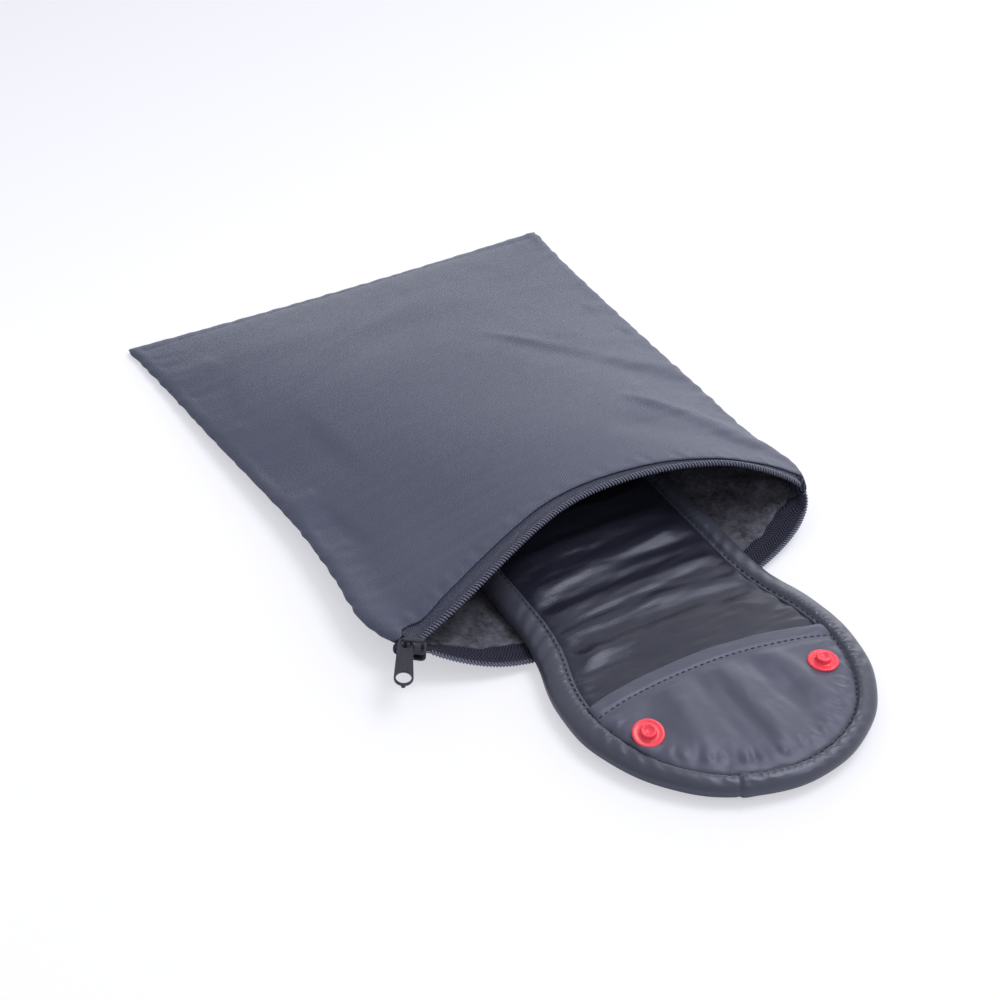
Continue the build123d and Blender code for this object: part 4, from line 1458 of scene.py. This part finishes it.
# ---------------------------------------------------------------------------
# Stage
# ---------------------------------------------------------------------------
class STAGE_OT_studio(bpy.types.Operator):
    """Set up the table, the light and the camera"""

    bl_idname = "stage.studio"
    bl_label = "Studio"

    def execute(self, context):
        looks = context.scene.stage_looks
        scene = context.scene
        scene.view_settings.view_transform = "Standard"
        bm = bmesh.new()
        bmesh.ops.create_grid(bm, x_segments=2, y_segments=2, size=6)
        bmesh.ops.translate(bm, vec=(0, 0, -0.2 * MM), verts=bm.verts)
        mesh = bpy.data.meshes.new("table")
        bm.to_mesh(mesh)
        bm.free()
        table = bpy.data.objects.new("table", mesh)
        scene.collection.objects.link(table)
        white = Finish("table", tuple(looks.floor), 0.8, specular_ior_level=0.1)
        white.tint(white.noise(white.object, 1.5, 2, 0.5), 0.995, 1.005)
        even = white.nodes.new("ShaderNodeEmission")
        # The seen white darkens towards +Y, to about two thirds far off: painted shade of light falling off across
        # the table
        split = white.nodes.new("ShaderNodeSeparateXYZ")
        white.links.new(white.object, split.inputs[0])
        far = white.spread(split.outputs[1], 0.0, 1.0, 0.1, 0.45)
        painted_falloff = white.nodes.new("ShaderNodeMix")
        painted_falloff.data_type = "RGBA"
        for name, value in (("A_Color", (1.0, 1.0, 1.06, 1)), ("B_Color", (0.66, 0.67, 0.72, 1))):
            next(k for k in painted_falloff.inputs if k.identifier == name).default_value = value
        white.links.new(far, painted_falloff.inputs[0])
        white.links.new(next(k for k in painted_falloff.outputs if k.identifier == "Result_Color"), even.inputs["Color"])
        seen = white.nodes.new("ShaderNodeLightPath").outputs["Is Camera Ray"]
        mix = white.nodes.new("ShaderNodeMixShader")
        white.links.new(white.math("MULTIPLY", seen, looks.even), mix.inputs[0])
        white.links.new(white.shader.outputs[0], mix.inputs[1])
        white.links.new(even.outputs[0], mix.inputs[2])
        white.links.new(mix.outputs[0], white.nodes["Material Output"].inputs["Surface"])
        mesh.materials.append(white.material)

        world = bpy.data.worlds.new("surroundings")
        scene.world = world
        world.use_nodes = True
        background = world.node_tree.nodes["Background"]
        background.inputs["Color"].default_value = (0.985, 0.985, 1.0, 1)
        tree = world.node_tree
        around = tree.nodes.new("ShaderNodeTexCoord")
        split = tree.nodes.new("ShaderNodeSeparateXYZ")
        tree.links.new(around.outputs["Generated"], split.inputs[0])
        slant = tree.nodes.new("ShaderNodeMath")
        slant.operation = "MULTIPLY_ADD"
        slant.inputs[1].default_value, slant.inputs[2].default_value = 0.28 * looks.world, looks.world
        tree.links.new(split.outputs[0], slant.inputs[0])
        seen = tree.nodes.new("ShaderNodeLightPath").outputs["Is Camera Ray"]
        plain = tree.nodes.new("ShaderNodeMath")
        plain.operation = "MAXIMUM"
        tree.links.new(slant.outputs[0], plain.inputs[0])
        tree.links.new(seen, plain.inputs[1])
        tree.links.new(plain.outputs[0], background.inputs["Strength"])

        def softbox(name, place, aim, size, power):
            lamp = bpy.data.lights.new(name, "AREA")
            lamp.shape, lamp.size, lamp.size_y = "RECTANGLE", size[0], size[1]
            lamp.energy = power
            holder = bpy.data.objects.new(name, lamp)
            holder.location = place
            holder.rotation_euler = (Vector(aim) - Vector(place)).to_track_quat("-Z", "Y").to_euler()
            scene.collection.objects.link(holder)

        softbox("overhead", (0.7, -0.1, 1.45), (0, 0, 0), (0.8, 0.8), looks.softbox)
        softbox("behind", (1.25, 1.6, 0.55), (0, 0, 0), (2.4, 0.9), looks.softbox * 1.05)

        camera = bpy.data.cameras.new("camera")
        camera.lens, camera.sensor_width = 93.88, 36
        camera.clip_start, camera.clip_end = 0.05, 50
        holder = bpy.data.objects.new("camera", camera)
        holder.matrix_world = Matrix((
            (0.84742, 0.29002, -0.44471, -0.46744),
            (-0.52807, 0.54706, -0.64951, -0.71231),
            (0.05491, 0.78525, 0.61674, 0.62700),
            (0, 0, 0, 1),
        ))
        scene.collection.objects.link(holder)
        scene.camera = holder
        return {"FINISHED"}


OPERATORS = (
    STAGE_OT_studio, POUCH_OT_outer_sheets, POUCH_OT_linings, ZIP_OT_tapes, ZIP_OT_coils, ZIP_OT_slider,
    PANEL_OT_pad, PANEL_OT_pocket, PANEL_OT_binding, PANEL_OT_stitching, PANEL_OT_snaps,
)
GROUPS = {
    "pouch_looks": PouchLooks, "zip_looks": ZipLooks, "panel_looks": PanelLooks, "snap_looks": SnapLooks,
    "stage_looks": StageLooks,
}


class VIEW3D_PT_pouch(bpy.types.Panel):
    """Sizes, colours and steps of the pouch"""

    bl_label = "Zip pouch"
    bl_idname = "VIEW3D_PT_pouch"
    bl_space_type = "VIEW_3D"
    bl_region_type = "UI"
    bl_category = "Pouch"

    def draw(self, context):
        for group in GROUPS:
            looks = getattr(context.scene, group)
            for name in looks.__annotations__:
                self.layout.prop(looks, name)
        for operator in OPERATORS:
            self.layout.operator(operator.bl_idname)


def register():
    for made in (*GROUPS.values(), *OPERATORS, VIEW3D_PT_pouch):
        bpy.utils.register_class(made)
    for name, group in GROUPS.items():
        setattr(bpy.types.Scene, name, PointerProperty(type=group))


def unregister():
    for name in GROUPS:
        delattr(bpy.types.Scene, name)
    for made in reversed((*GROUPS.values(), *OPERATORS, VIEW3D_PT_pouch)):
        bpy.utils.unregister_class(made)


def main():
    register()
    for operator in OPERATORS:
        family, name = operator.bl_idname.split(".")
        getattr(getattr(bpy.ops, family), name)()


if __name__ == "__main__":
    main()
